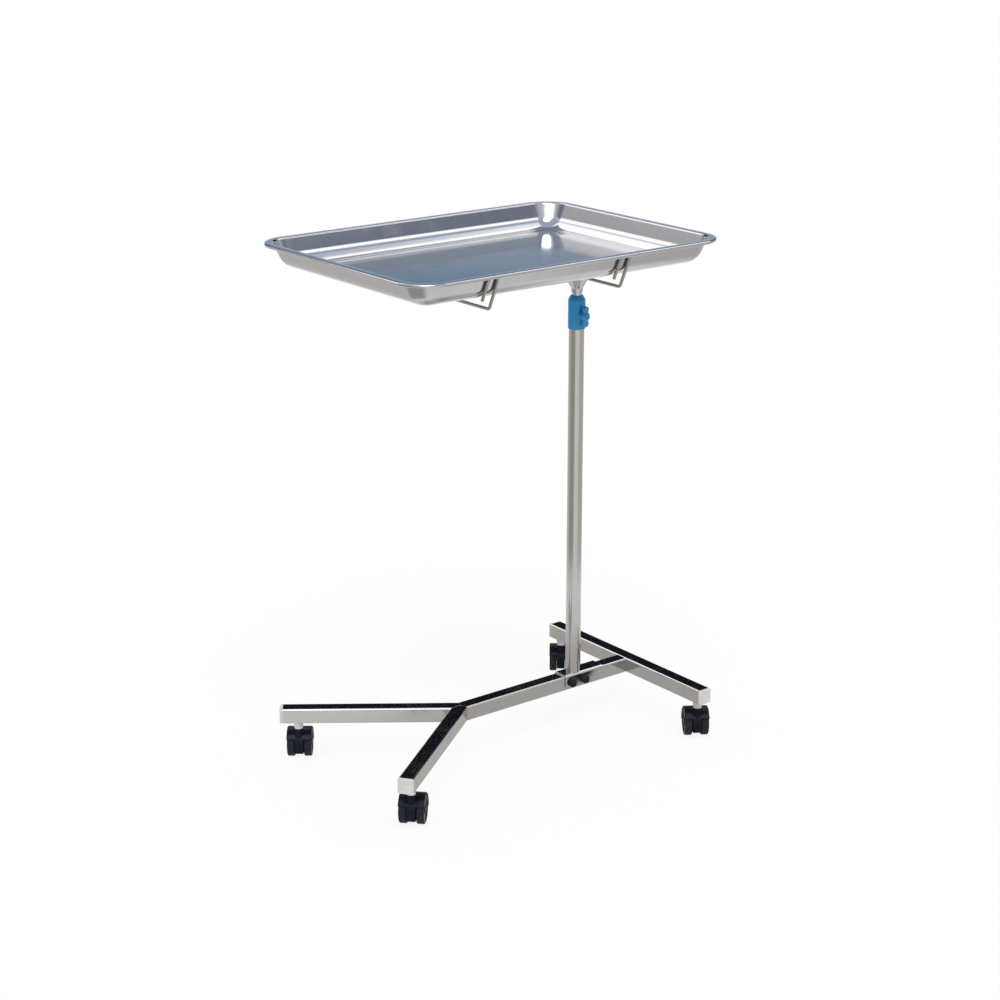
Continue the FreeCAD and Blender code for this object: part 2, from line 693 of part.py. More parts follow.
def inner_tube():
    """Inner tube, grooved for the retaining ring and cross-drilled for the stop pin."""
    tube = ring(INNER_RADIUS, INNER_BORE, INNER_FOOT, ARM_BOTTOM)
    groove_bottom = GUIDE_TOP + REST_GAP
    groove = ring(INNER_RADIUS + CUTTER_PAST, INNER_RADIUS - RETAINER_GROOVE, groove_bottom,
                  groove_bottom + INNER_WALL + 2 * FIXED_GAP)
    return drilled(tube, [groove, stop_pin_hole()])


def retainer_plug():
    """Plug in the foot of the inner tube; its flange keeps the guide bush from dropping off."""
    flange = POST_BORE - RETAINER_GAP
    spigot = INNER_BORE - FIXED_GAP
    return turned([
        (0, INNER_FOOT - RETAINER_FLANGE),
        (flange, INNER_FOOT - RETAINER_FLANGE, TURNED_EDGE),
        (flange, INNER_FOOT),
        (spigot, INNER_FOOT),
        (spigot, INNER_FOOT + RETAINER_LENGTH, TURNED_EDGE),
        (0, INNER_FOOT + RETAINER_LENGTH),
    ])


def retaining_ring():
    """Open spring ring in the inner tube's groove, above the guide bush."""
    bottom = GUIDE_TOP + REST_GAP + FIXED_GAP
    full = ring(POST_BORE - RETAINER_GAP, INNER_RADIUS - RETAINER_GROOVE + FIXED_GAP, bottom,
                bottom + INNER_WALL)
    opening = Part.makeBox(POST_DIAMETER, RING_OPENING, 2 * INNER_WALL,
                           Vector(0, -RING_OPENING / 2, bottom - INNER_WALL / 2))
    return full.cut(opening)


def guide_bush():
    """Bush that slides in the outer tube and lets the inner tube turn in it."""
    outer = POST_BORE - RUNNING_GAP
    bore = INNER_RADIUS + RUNNING_GAP
    lead = min(BUSH_LEAD, (outer - bore) / 3)
    return turned([
        (bore, GUIDE_BOTTOM),
        (outer - lead, GUIDE_BOTTOM),
        (outer, GUIDE_BOTTOM + 2 * lead),
        (outer, GUIDE_TOP - 2 * lead),
        (outer - lead, GUIDE_TOP),
        (bore, GUIDE_TOP),
    ])


def stop_ring():
    """Sleeve on the inner tube that meets the top bush at full height."""
    sleeve = ring(POST_BORE - REST_GAP, INNER_RADIUS + FIXED_GAP, STOP_TOP - STOP_LENGTH,
                  STOP_TOP)
    return sleeve.cut(stop_pin_hole())


def stop_pin():
    """Cross pin through the stop ring and the inner tube."""
    return cross_rod(STOP_PIN_DIAMETER / 2, 0, STOP_PIN_HEIGHT, POST_BORE - STOP_PIN_INSET)


# Base

def square_tube(length, start, heading):
    """Level square tube with rounded edges, from a start point along a heading."""
    outer = rounded_block(BEAM_SECTION, BEAM_SECTION, length, BEAM_CORNER)
    inner = rounded_block(BEAM_BORE, BEAM_BORE, length, BEAM_CORNER - BEAM_WALL)
    return aimed_level(outer.cut(inner), heading, start)


def aimed_level(shape, heading, place):
    """Lay the shape's own +Z along a level heading, with its own Y kept level."""
    result = shape.copy()
    result.rotate(ORIGIN, Y_AXIS, 90)
    result.rotate(ORIGIN, Z_AXIS, heading)
    result.translate(place)
    return result


def castor_hole(castor):
    """Drill for a castor's thread through the lower wall of a tube."""
    x, y = CASTOR_PLACES[castor]
    return upright_rod(STEM_THREAD_DIAMETER / 2 + BOLT_HOLE_GAP, x, y,
                       BEAM_BOTTOM - CUTTER_PAST, BEAM_MIDDLE)


def saddle_bolt_drills():
    """The two cross holes for the saddle bolts."""
    radius = CROSS_BOLT[0] / 2 + BOLT_HOLE_GAP
    return [cross_rod(radius, side * SADDLE_BOLT_SPREAD, BEAM_MIDDLE, BEAM_SECTION)
            for side in BOTH_SIDES]


def foot_bolt_drill():
    """The hole for the foot bolt's thread through the beam's upper wall and the saddle."""
    return upright_rod(FOOT_BOLT[0] / 2 + BOLT_HOLE_GAP, 0, 0, BEAM_MIDDLE,
                       SADDLE_TOP + CUTTER_PAST)


def foot_bolt_access():
    """The wider hole in the beam's lower wall that lets the foot bolt's head in."""
    return upright_rod(FOOT_BOLT[1] / 2 + SIDE_GAP, 0, 0, BEAM_BOTTOM - CUTTER_PAST,
                       BEAM_BOTTOM + 2 * BEAM_WALL)


def centre_beam():
    """Beam from the fork joint to the crossbar, with an arrow-shaped mitre at the fork."""
    fork = Vector(-FORK_FROM_POST, 0, BEAM_MIDDLE)
    length = FORK_FROM_POST + CROSSBAR_FROM_POST + BEAM_SECTION / 2
    beam = square_tube(length, fork - X_AXIS * BEAM_SECTION, 0)
    mitre = FORK_HEADING / 2 + 90
    drills = saddle_bolt_drills() + [foot_bolt_drill(), foot_bolt_access()]
    return drilled(beam, [far_side(fork, mitre), far_side(fork, -mitre)] + drills)


def fork_arm(side, castor):
    """Fork arm to one side, mitred to the beam and to the other arm."""
    fork = Vector(-FORK_FROM_POST, 0, BEAM_MIDDLE)
    x, y = CASTOR_PLACES[castor]
    heading = side * FORK_HEADING
    run = (Vector(x, y, BEAM_MIDDLE) - fork).Length + FORK_ARM_PAST_CASTOR - END_CAP_HEAD
    arm = square_tube(run + BEAM_SECTION, fork - level_direction(heading) * BEAM_SECTION, heading)
    mitre = side * (FORK_HEADING / 2 - 90)
    return drilled(arm, [far_side(fork, mitre), far_side(fork, -side * 90), castor_hole(castor)])


def crossbar():
    """Crossbar at the post's end of the base."""
    length = CROSSBAR_LENGTH - 2 * END_CAP_HEAD
    bar = square_tube(length, Vector(CROSSBAR_FROM_POST, -length / 2, BEAM_MIDDLE), 90)
    return drilled(bar, [castor_hole("crossbar_front"), castor_hole("crossbar_back")])


def tube_end_cap():
    """Moulded square cap: a crowned head and a hollow spigot, pointing along +Z."""
    head = rounded_block(BEAM_SECTION, BEAM_SECTION, END_CAP_HEAD, BEAM_CORNER)
    head = head.makeChamfer(END_CAP_CROWN, top_rim(head))
    side = BEAM_BORE - 2 * FIXED_GAP
    corner = BEAM_CORNER - BEAM_WALL
    spigot = rounded_block(side, side, END_CAP_PLUG, corner)
    hollow = rounded_block(side - 2 * END_CAP_WALL, side - 2 * END_CAP_WALL, END_CAP_PLUG, corner)
    return head.fuse(moved(spigot.cut(hollow), 0, 0, -END_CAP_PLUG))


def tube_end_caps():
    """The caps in the four open tube ends of the base."""
    cap = tube_end_cap()
    caps = []
    for side in BOTH_SIDES:
        heading = side * FORK_HEADING
        castor = Vector(-FORK_CASTOR_FROM_POST, side * FORK_CASTOR_SPREAD, BEAM_MIDDLE)
        fork_end = castor + level_direction(heading) * (FORK_ARM_PAST_CASTOR - END_CAP_HEAD)
        caps.append(aimed_level(cap, heading, fork_end))
        bar_end = Vector(CROSSBAR_FROM_POST, side * (CROSSBAR_LENGTH / 2 - END_CAP_HEAD),
                         BEAM_MIDDLE)
        caps.append(aimed_level(cap, side * 90, bar_end))
    return Part.makeCompound(caps)


def castor_sockets():
    """Threaded bushes welded inside the tubes, one over each castor."""
    socket = ring(SOCKET_DIAMETER / 2, STEM_THREAD_DIAMETER / 2 + FIXED_GAP, 0, BEAM_BORE)
    return Part.makeCompound([moved(socket, x, y, BEAM_BOTTOM + BEAM_WALL)
                              for x, y in CASTOR_PLACES.values()])


def foot_saddle():
    """Folded saddle over the beam, carrying the post, drilled for the bolts."""
    half = SADDLE_HALF_WIDTH
    skirt = BEAM_TOP - SADDLE_FLANGE
    points = [
        Vector(0, half, skirt),
        Vector(0, half, SADDLE_TOP),
        Vector(0, -half, SADDLE_TOP),
        Vector(0, -half, skirt),
    ]
    section = sheet_section(points, [SADDLE_BEND, SADDLE_BEND], SADDLE_SHEET)
    length = SADDLE_FORK_SIDE + SADDLE_CROSSBAR_SIDE
    saddle = moved(section.extrude(X_AXIS * length), -SADDLE_FORK_SIDE, 0, 0)
    lower_corners = [edge for edge in saddle.Edges
                     if edge.BoundBox.ZMax < skirt + FIXED_GAP
                     and edge.BoundBox.XLength < FIXED_GAP]
    saddle = saddle.makeFillet(SADDLE_BEND, lower_corners)
    return drilled(saddle, saddle_bolt_drills() + [foot_bolt_drill()])


def saddle_bolts():
    """The two cross bolts of the saddle, heads to the front."""
    bolt = hex_bolt(CROSS_BOLT, 2 * SADDLE_HALF_WIDTH + CROSS_BOLT[2] + BOLT_PAST_NUT)
    return Part.makeCompound([
        aimed(bolt, Y_AXIS, Vector(side * SADDLE_BOLT_SPREAD, -SADDLE_HALF_WIDTH, BEAM_MIDDLE))
        for side in BOTH_SIDES])


def saddle_nuts():
    """The nuts of the saddle bolts, at the back."""
    nut = hex_nut(CROSS_BOLT)
    return Part.makeCompound([
        aimed(nut, Y_AXIS, Vector(side * SADDLE_BOLT_SPREAD, SADDLE_HALF_WIDTH, BEAM_MIDDLE))
        for side in BOTH_SIDES])


def bolt_cap():
    """Domed push-on cap over a bolt head or nut, pointing along +Z."""
    inner = CROSS_BOLT[1] / math.sqrt(3) + BOLT_HOLE_GAP
    outer = inner + BOLT_CAP_WALL
    depth = CROSS_BOLT[2] + BOLT_CAP_ROOM
    return turned([
        (inner, 0),
        (outer, 0),
        (outer, depth + BOLT_CAP_WALL, BOLT_CAP_DOME),
        (0, depth + BOLT_CAP_WALL),
        (0, depth),
        (inner, depth),
    ])


def bolt_caps():
    """Caps on both ends of the saddle bolts."""
    cap = bolt_cap()
    return Part.makeCompound([
        aimed(cap, Y_AXIS * face,
              Vector(side * SADDLE_BOLT_SPREAD, face * SADDLE_HALF_WIDTH, BEAM_MIDDLE))
        for side in BOTH_SIDES for face in BOTH_SIDES])


# Castor: drawn with the stem on the Z axis, the floor at Z = 0 and the wheels trailing to +X

def castor_stem():
    """Steel stem: thread, hexagon, round neck and the journal that the hood turns on."""
    journal = STEM_JOURNAL_DIAMETER / 2
    neck = STEM_NECK_DIAMETER / 2
    thread = STEM_THREAD_DIAMETER / 2
    thread_top = BEAM_BOTTOM + STEM_THREAD_LENGTH
    shaft = turned([
        (0, STEM_NECK_BOTTOM - STEM_JOURNAL_LENGTH),
        (journal, STEM_NECK_BOTTOM - STEM_JOURNAL_LENGTH, TURNED_EDGE),
        (journal, STEM_NECK_BOTTOM),
        (neck, STEM_NECK_BOTTOM, TURNED_EDGE),
        (neck, STEM_NECK_TOP),
        (thread, STEM_NECK_TOP),
        (thread, thread_top, TURNED_EDGE),
        (0, thread_top),
    ])
    flats = hex_prism(STEM_HEX, STEM_HEX_HEIGHT)
    return shaft.fuse(moved(flats, 0, 0, STEM_NECK_TOP))


def hood_web():
    """Disc between the wheels, cut off along a level chord above the floor."""
    web = Part.makeCylinder(HOOD_INNER + HOOD_SHEET / 2, CASTOR_WEB,
                            Vector(CASTOR_TRAIL, -CASTOR_WEB / 2, WHEEL_RADIUS), Y_AXIS)
    below = Part.makeBox(CUTTER_SIZE, CUTTER_SIZE, CUTTER_SIZE,
                         Vector(-CUTTER_SIZE / 2, -CUTTER_SIZE / 2,
                                HOOD_CHORD_HEIGHT - CUTTER_SIZE))
    return web.cut(below)


def hood_cover():
    """Arched cover over both wheels, with bevelled long edges."""
    half = WHEEL_OUTER_FACE + SIDE_GAP
    points = [
        Vector(HOOD_INNER, -half, 0),
        Vector(HOOD_OUTER, -half, 0),
        Vector(HOOD_OUTER, half, 0),
        Vector(HOOD_INNER, half, 0),
    ]
    section = bevelled_section(points, [0, HOOD_EDGE, HOOD_EDGE, 0])
    section.rotate(ORIGIN, Y_AXIS, -HOOD_REAR_ANGLE)
    cover = section.revolve(ORIGIN, Y_AXIS, HOOD_REAR_ANGLE - HOOD_FRONT_ANGLE)
    return moved(cover, CASTOR_TRAIL, 0, WHEEL_RADIUS)


def hood_boss():
    """Round boss that takes the stem's journal."""
    radius = CASTOR_BOSS_DIAMETER / 2
    bottom = CASTOR_BOSS_TOP - STEM_JOURNAL_LENGTH - CASTOR_BOSS_FLOOR
    return turned([
        (0, bottom),
        (radius, bottom, TURNED_EDGE),
        (radius, CASTOR_BOSS_TOP, TURNED_EDGE),
        (0, CASTOR_BOSS_TOP),
    ])


def castor_hood():
    """Moulded hood: a web between the wheels, an arched cover over them and the stem boss."""
    hood = hood_web().multiFuse([hood_cover(), hood_boss()])
    journal_bore = upright_rod(STEM_JOURNAL_DIAMETER / 2 + RUNNING_GAP, 0, 0,
                               CASTOR_BOSS_TOP - STEM_JOURNAL_LENGTH,
                               CASTOR_BOSS_TOP + STEM_JOURNAL_ROOM)
    axle_bore = cross_rod(CASTOR_AXLE_DIAMETER / 2 + FIXED_GAP, CASTOR_TRAIL, WHEEL_RADIUS,
                          CASTOR_WEB)
    return drilled(hood, [journal_bore, axle_bore])


def castor_axle():
    """Steel axle pin through the hood's web and into both wheels."""
    half = WHEEL_OUTER_FACE - WHEEL_HUB_FACE - REST_GAP
    return cross_rod(CASTOR_AXLE_DIAMETER / 2, CASTOR_TRAIL, WHEEL_RADIUS, half)


def castor_wheel(side):
    """Moulded wheel on one side: bevelled tread, dished outer face, ribbed recess, closed hub."""
    bore = CASTOR_AXLE_DIAMETER / 2 + RUNNING_GAP
    hub = bore + WHEEL_HUB_WALL
    rim = WHEEL_RADIUS - WHEEL_RIM
    width = WHEEL_WIDTH
    wheel = turned([
        (0, width - WHEEL_HUB_FACE),
        (bore, width - WHEEL_HUB_FACE),
        (bore, 0),
        (hub, 0),
        (hub, WHEEL_RECESS),
        (rim, WHEEL_RECESS),
        (rim, 0),
        (WHEEL_RADIUS, 0, WHEEL_TREAD_EDGE),
        (WHEEL_RADIUS, width, WHEEL_TREAD_EDGE),
        (rim, width, MOULDED_EDGE),
        (rim - WHEEL_DISH, width - WHEEL_DISH, WHEEL_DISH),
        (hub, width - WHEEL_DISH),
        (hub, width, WHEEL_DISH / 2),
        (0, width),
    ])
    overlap = WHEEL_RIB_THICKNESS / 2
    rib = Part.makeBox(rim - hub + 2 * overlap, WHEEL_RIB_THICKNESS,
                       WHEEL_RECESS - WHEEL_RIB_SETBACK + overlap,
                       Vector(hub - overlap, -overlap, WHEEL_RIB_SETBACK))
    ribs = []
    for turn in range(WHEEL_RIBS):
        one = rib.copy()
        one.rotate(ORIGIN, Z_AXIS, 360 / WHEEL_RIBS * turn)
        ribs.append(one)
    return aimed(wheel.multiFuse(ribs), Y_AXIS * side,
                 Vector(CASTOR_TRAIL, side * WHEEL_INNER_FACE, WHEEL_RADIUS))


def castor_pieces(name):
    """The five pieces of one castor, turned to its rest heading and set under the base."""
    x, y = CASTOR_PLACES[name]
    pieces = {
        "stem": castor_stem(),
        "hood": castor_hood(),
        "axle": castor_axle(),
        "left_wheel": castor_wheel(1),
        "right_wheel": castor_wheel(-1),
    }
    placed = {}
    for piece, shape in pieces.items():
        shape.rotate(ORIGIN, Z_AXIS, CASTOR_HEADINGS[name])
        placed[f"{name}_castor_{piece}"] = moved(shape, x, y, 0)
    return placed


# All nodes

def all_pieces():
    """Every node by name, with the post on the Z axis."""
    pieces = {
        "tray": tray(),
        "tray_arm": tray_arm(),
        "arm_end_caps": arm_end_caps(),
        "support_cone": support_cone(),
        "head_screws": head_screws(),
        "head_nuts": head_nuts(),
        "inner_tube": inner_tube(),
        "retainer_plug": retainer_plug(),
        "retaining_ring": retaining_ring(),
        "guide_bush": guide_bush(),
        "stop_ring": stop_ring(),
        "stop_pin": stop_pin(),
        "outer_tube": outer_tube(),
        "top_bush": top_bush(),
        "clamp_collar": clamp_collar(),
        "clamp_insert": clamp_insert(),
        "clamp_pad": clamp_pad(),
        "clamp_screw": clamp_screw(),
        "wing_knob": wing_knob(),
        "foot_plug": foot_plug(),
        "foot_bolt": foot_bolt(),
        "foot_saddle": foot_saddle(),
        "saddle_bolts": saddle_bolts(),
        "saddle_nuts": saddle_nuts(),
        "bolt_caps": bolt_caps(),
        "centre_beam": centre_beam(),
        "fork_arm_back": fork_arm(1, "fork_back"),
        "fork_arm_front": fork_arm(-1, "fork_front"),
        "crossbar": crossbar(),
        "tube_end_caps": tube_end_caps(),
        "castor_sockets": castor_sockets(),
    }
    for node, place in HOOK_ROD_PLACES.items():
        pieces[node] = hook_rod(place)
    for name in CASTOR_PLACES:
        pieces.update(castor_pieces(name))
    return pieces


def footprint_shift(pieces):
    """Move along X that brings the middle of the whole outline over the origin."""
    low = min(shape.BoundBox.XMin for shape in pieces.values())
    high = max(shape.BoundBox.XMax for shape in pieces.values())
    return -(low + high) / 2


def main():
    os.makedirs("parts", exist_ok=True)
    pieces = all_pieces()
    shift = footprint_shift(pieces)
    for node, shape in pieces.items():
        moved(shape, shift, 0, 0).exportStep(f"parts/{node}.step")


main()
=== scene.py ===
import json
import math

import bmesh
import bpy
from mathutils import Matrix, Vector


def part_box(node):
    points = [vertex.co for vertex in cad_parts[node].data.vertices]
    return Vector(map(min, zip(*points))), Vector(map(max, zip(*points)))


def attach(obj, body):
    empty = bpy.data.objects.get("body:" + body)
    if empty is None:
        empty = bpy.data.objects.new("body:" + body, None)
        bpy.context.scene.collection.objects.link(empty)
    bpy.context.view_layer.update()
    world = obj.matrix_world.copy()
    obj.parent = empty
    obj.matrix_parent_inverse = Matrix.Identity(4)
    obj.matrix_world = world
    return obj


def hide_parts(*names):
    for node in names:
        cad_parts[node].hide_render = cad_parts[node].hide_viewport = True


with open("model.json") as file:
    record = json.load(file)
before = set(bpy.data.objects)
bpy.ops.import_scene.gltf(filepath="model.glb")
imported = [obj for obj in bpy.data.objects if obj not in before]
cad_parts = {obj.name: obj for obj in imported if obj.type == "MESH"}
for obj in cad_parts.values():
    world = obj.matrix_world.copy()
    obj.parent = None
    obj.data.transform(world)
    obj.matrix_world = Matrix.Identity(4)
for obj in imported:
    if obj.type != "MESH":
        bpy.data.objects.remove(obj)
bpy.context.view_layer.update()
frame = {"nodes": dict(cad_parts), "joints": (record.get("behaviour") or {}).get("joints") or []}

bl_info = {
    "name": "Instrument Table",
    "version": (1, 0, 0),
    "blender": (4, 5, 0),
    "location": "3D View > Sidebar > Instrument Table",
    "description": "Steel, plastic and studio for a height-adjustable instrument table on castors",
    "category": "Object",
}

# Boxes from the frame, in metres, and the parts that its node and joint names are made of
CASTORS = ("fork_back", "fork_front", "crossbar_front", "crossbar_back")
WHEEL_SIDES = ("left", "right")
POST_LOW, POST_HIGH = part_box("outer_tube")
POST_MIDDLE = (POST_LOW + POST_HIGH) / 2
TRAY_LOW, TRAY_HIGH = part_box("tray")
TRAY_MIDDLE = (TRAY_LOW + TRAY_HIGH) / 2
FORK_ARM_LOW, FORK_ARM_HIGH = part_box("fork_arm_back")
FORK_ARM_HEADING = math.atan2(FORK_ARM_HIGH.y - FORK_ARM_LOW.y, FORK_ARM_LOW.x - FORK_ARM_HIGH.x)

# Directions in which a piece was drawn, brushed or turned
ALONG_X = Vector((1, 0, 0))
ALONG_Y = Vector((0, 1, 0))
UPRIGHT = Vector((0, 0, 1))

# Colours as red, green and blue, with alpha where a shader takes them as they are
WHITE = (1, 1, 1, 1)
BLUSH_COLOUR = (0.56, 0.60, 0.64)
GRIME_COLOUR = (0.040, 0.040, 0.046)

# Detail sizes of the finishes, in metres
GRAIN_WIDTH = 0.00022
GRAIN_LENGTH = 0.045
GRAIN_DEPTH = 0.0000012
SCRATCH_WIDTH = 0.0005
SCRATCH_LENGTH = 0.03
SMUDGE_SIZE = 0.035
SHEET_WAVE_SIZE = 0.11
SHEET_WAVE_DEPTH = 0.00009
TURNED_LINE_WIDTH = 0.0003
TURNED_LINE_DEPTH = 3 * GRAIN_DEPTH
WHEEL_LINE_WIDTH = TURNED_LINE_WIDTH * 2
SPANGLE_SIZE = 0.004
SPANGLE_DEPTH = 0.000006
BLUSH_SIZE = 0.012
MOULD_GRAIN_SIZE = 0.0005
MOULD_GRAIN_DEPTH = 0.000012
MOULD_FLOW_SIZE = 0.02
DUST_SIZE = SMUDGE_SIZE / 2
GRIME_SIZE = 0.006
SHEET_EDGE = 0.0004
TUBE_EDGE = 0.0005
MOULDED_EDGE = 0.0009

# Where a pattern that runs from 0 to 1 starts to show as a mark, and where the mark is full
NOISE_MEAN = 0.5
HAIRLINE_STEP = (0.64, 0.72)
SMUDGE_STEP = (0.46, 0.72)
TURNED_SMUDGE_STEP = (0.45, 0.75)
BLUSH_STEP = (0.4, 0.7)
FLOW_STEP = (0.35, 0.7)
DUST_STEP = (0.5, 0.8)
GRIME_STEP = (0.3, 0.75)
GRIME_RANGE = (0.35, 1.0)

# Two steps of another kind: shares of the wheel's radius, and cosines between two normals
TREAD_STEP = (0.93, 0.985)
EDGE_STEP = (0.985, 0.9)

# How much the marks change the roughness
GRAIN_ROUGHENS = 0.03
SMUDGES_ROUGHEN = 0.04
HAIRLINES_ROUGHEN = 0.03
RINGS_ROUGHEN = 0.08
TURNED_SMUDGES_ROUGHEN = 0.06
SPANGLE_ROUGHENS = 0.16
WEAR_POLISHES_ZINC = 0.1
MOULD_GRAIN_ROUGHENS = 0.1
DUST_ROUGHENS = 0.12
WEAR_ROUGHENS_PLASTIC = 0.1
GRIME_ROUGHENS = 0.3
WHEEL_RINGS_ROUGHEN = 0.06

# How far the marks turn the colour, and how light or dark the marked colour is
SMUDGES_TINT = 0.6
GRAIN_TINTS = 0.25
MARKED_STEEL = 0.93
TURNED_SMUDGES_TINT = 0.5
RINGS_TINT = 0.3
MARKED_TURNED_STEEL = 0.9
WORN_ZINC = 1.25
FLOW_SHADES = (0.92, 1.1)
RUBBED_PALE = 0.12
DUST_TINTS = 0.08
GRIME_TINTS = 0.55
WHEEL_WEAR_TINTS = 0.1

# How far the marks stand out, as shares of the finish's own relief
HAIRLINES_CUT = 0.4
GRIME_STANDS_OUT = 2.0

# Roughness of the finishes that have no setting of their own
ZINC_ROUGHNESS = 0.28
COLLAR_ROUGHNESS = 0.25
BRASS_ROUGHNESS = 0.22
END_CAP_ROUGHNESS = 0.4
BOLT_CAP_ROUGHNESS = 0.38
CLAMP_ROUGHNESS = 0.3
BUSH_ROUGHNESS = 0.5
PLUG_ROUGHNESS = 0.5
HOOD_ROUGHNESS = 0.34
WHEEL_ROUGHNESS = 0.36

# How far the edges of mouldings are rubbed pale, and their specular levels
EDGE_RUB = 0.35
CLAMP_RUB = 0.25
BOLT_CAP_RUB = 0.2
HOOD_RUB = 0.15
PLASTIC_GLOSS = 0.5
CLAMP_GLOSS = 0.3
BLACK_GLOSS = 0.12

# Sockets of the Mix node when it mixes colours
MIX_FIRST, MIX_SECOND, MIX_RESULT = 6, 7, 2

# How finely edges are rounded and the pressed tray is divided, the flat margin left inside its
# floor bend in metres, and the angle from which its edges stay sharp
BEVEL_SAMPLES = 4
DEGREES_PER_FACET = 3.0
CORNER_FACETS = 24
FLOOR_MARGIN = 0.003
SHARP_ANGLE = math.radians(40)

# The stage in metres and degrees, and the camera's sensor in millimetres
FLOOR_HALF_WIDTH = 40.0
KEY_LAMP_SPREAD = 34.0
KEY_LAMP_TILT = (24.0, -16.0, 0.0)
SENSOR_WIDTH = 36.0

# What polished metal mirrors: colours of the walls by elevation, and where the dark wall, the soft
# box and the windows are, in degrees. A spread is (outer, inner)
SIDE_WALLS = ((0, (0.86, 0.85, 0.83)), (10, (0.70, 0.69, 0.68)), (22, (0.62, 0.61, 0.61)),
              (26.5, (0.25, 0.28, 0.35)), (30.5, (0.25, 0.29, 0.37)), (35, (0.78, 0.82, 0.90)),
              (40, (0.98, 0.99, 1.0)), (46, (0.58, 0.68, 0.82)))
WALL_BEHIND = ((0, (0.86, 0.86, 0.86)), (7, (0.72, 0.75, 0.80)), (10.4, (0.50, 0.56, 0.68)),
               (12.6, (0.13, 0.25, 0.38)), (15, (0.06, 0.10, 0.17)), (17, (0.008, 0.009, 0.016)),
               (31, (0.007, 0.008, 0.014)), (37, (0.50, 0.52, 0.58)))
HEADING_BEHIND = 52.0
SPREAD_BEHIND = (63.0, 41.0)
SOFT_BOX_HEADING = 46.0
SOFT_BOX_SPREAD = (72.0, 54.0)
SOFT_BOX_RISE = (31.0, 38.0)
SOFT_BOX_FALL = (48.0, 60.0)
SOFT_BOX_COLOUR = (2.1, 2.1, 2.1)
WINDOWS = ({"heading": -141.0, "elevation": 42.0, "spread": (30.0, 15.0)},
           {"heading": -46.0, "elevation": 39.0, "spread": (9.5, 5.0)},
           {"heading": 122.0, "elevation": 30.0, "spread": (9.5, 5.0)})

# Painted shade in the floor that metal mirrors, seen from the post's foot: patches where its glow
# is dimmer, and a painted contact shadow near the foot. Directions in degrees, and distances in
# metres
FLOOR_PAINTED_SHADE = ({"heading": 123.0, "spread": (44.0, 26.0), "colour": (0.74, 0.69, 0.66)},
             {"heading": 180.0, "spread": (46.0, 22.0), "colour": (0.42, 0.41, 0.39)},
             {"heading": -35.0, "spread": (62.0, 30.0), "colour": (0.68, 0.64, 0.61)})
FLOOR_PAINTED_SHADE_FROM = (0.65, 0.95)
CONTACT_SHADE = (0.55, 0.30)
CONTACT_SHADE_COLOUR = (0.64, 0.62, 0.60)


# Settings

class TraySettings(bpy.types.PropertyGroup):
    """Sizes of the pressed tray's section."""

    sheet: bpy.props.FloatProperty(
        name="Sheet", description="Thickness of the tray's sheet",
        unit="LENGTH", min=0.0004, default=0.001)
    corner_radius: bpy.props.FloatProperty(
        name="Corner radius", description="Radius of the tray's corners at the rim's edge",
        unit="LENGTH", min=0.04, default=0.055)
    wall_lean: bpy.props.FloatProperty(
        name="Wall lean", description="Angle by which the walls lean outwards",
        subtype="ANGLE", min=0, max=1, default=math.radians(24))
    floor_bend: bpy.props.FloatProperty(
        name="Floor bend", description="Inside radius between floor and wall",
        unit="LENGTH", min=0.002, max=0.03, default=0.030)
    rim_flat: bpy.props.FloatProperty(
        name="Rim", description="Width of the flat rim",
        unit="LENGTH", min=0.008, default=0.014)
    rim_bend: bpy.props.FloatProperty(
        name="Rim bend", description="Outside radius of the rim's bends",
        unit="LENGTH", min=0.0012, default=0.0022)
    lip: bpy.props.FloatProperty(
        name="Lip", description="Height of the lip turned down from the rim",
        unit="LENGTH", min=0.0045, default=0.005)
    hem: bpy.props.FloatProperty(
        name="Hem", description="Width of the hem turned in under the rim",
        unit="LENGTH", min=0.003, default=0.004)


class SteelSettings(bpy.types.PropertyGroup):
    """Colours and polish of the metal pieces."""

    tray_colour: bpy.props.FloatVectorProperty(
        name="Tray colour", description="Reflected colour of the pressed stainless tray",
        subtype="COLOR", size=3, min=0, max=1, default=(0.50, 0.50, 0.515))
    tray_roughness: bpy.props.FloatProperty(
        name="Tray roughness", description="Roughness of the polished tray, away from marks",
        subtype="FACTOR", min=0, max=1, default=0.09)
    tube_colour: bpy.props.FloatVectorProperty(
        name="Tube colour", description="Reflected colour of the stainless tubes and sheet",
        subtype="COLOR", size=3, min=0, max=1, default=(0.50, 0.49, 0.475))
    tube_roughness: bpy.props.FloatProperty(
        name="Tube roughness", description="Roughness of the polished tubes, away from marks",
        subtype="FACTOR", min=0, max=1, default=0.10)
    wire_colour: bpy.props.FloatVectorProperty(
        name="Wire colour", description="Reflected colour of the bent hook rods",
        subtype="COLOR", size=3, min=0, max=1, default=(0.34, 0.32, 0.30))
    wire_roughness: bpy.props.FloatProperty(
        name="Wire roughness", description="Roughness of the bent hook rods",
        subtype="FACTOR", min=0, max=1, default=0.18)
    zinc_colour: bpy.props.FloatVectorProperty(
        name="Zinc colour", description="Reflected colour of the plated fasteners and pins",
        subtype="COLOR", size=3, min=0, max=1, default=(0.60, 0.60, 0.58))
    brass_colour: bpy.props.FloatVectorProperty(
        name="Brass colour", description="Reflected colour of the threaded insert",
        subtype="COLOR", size=3, min=0, max=1, default=(0.80, 0.58, 0.26))


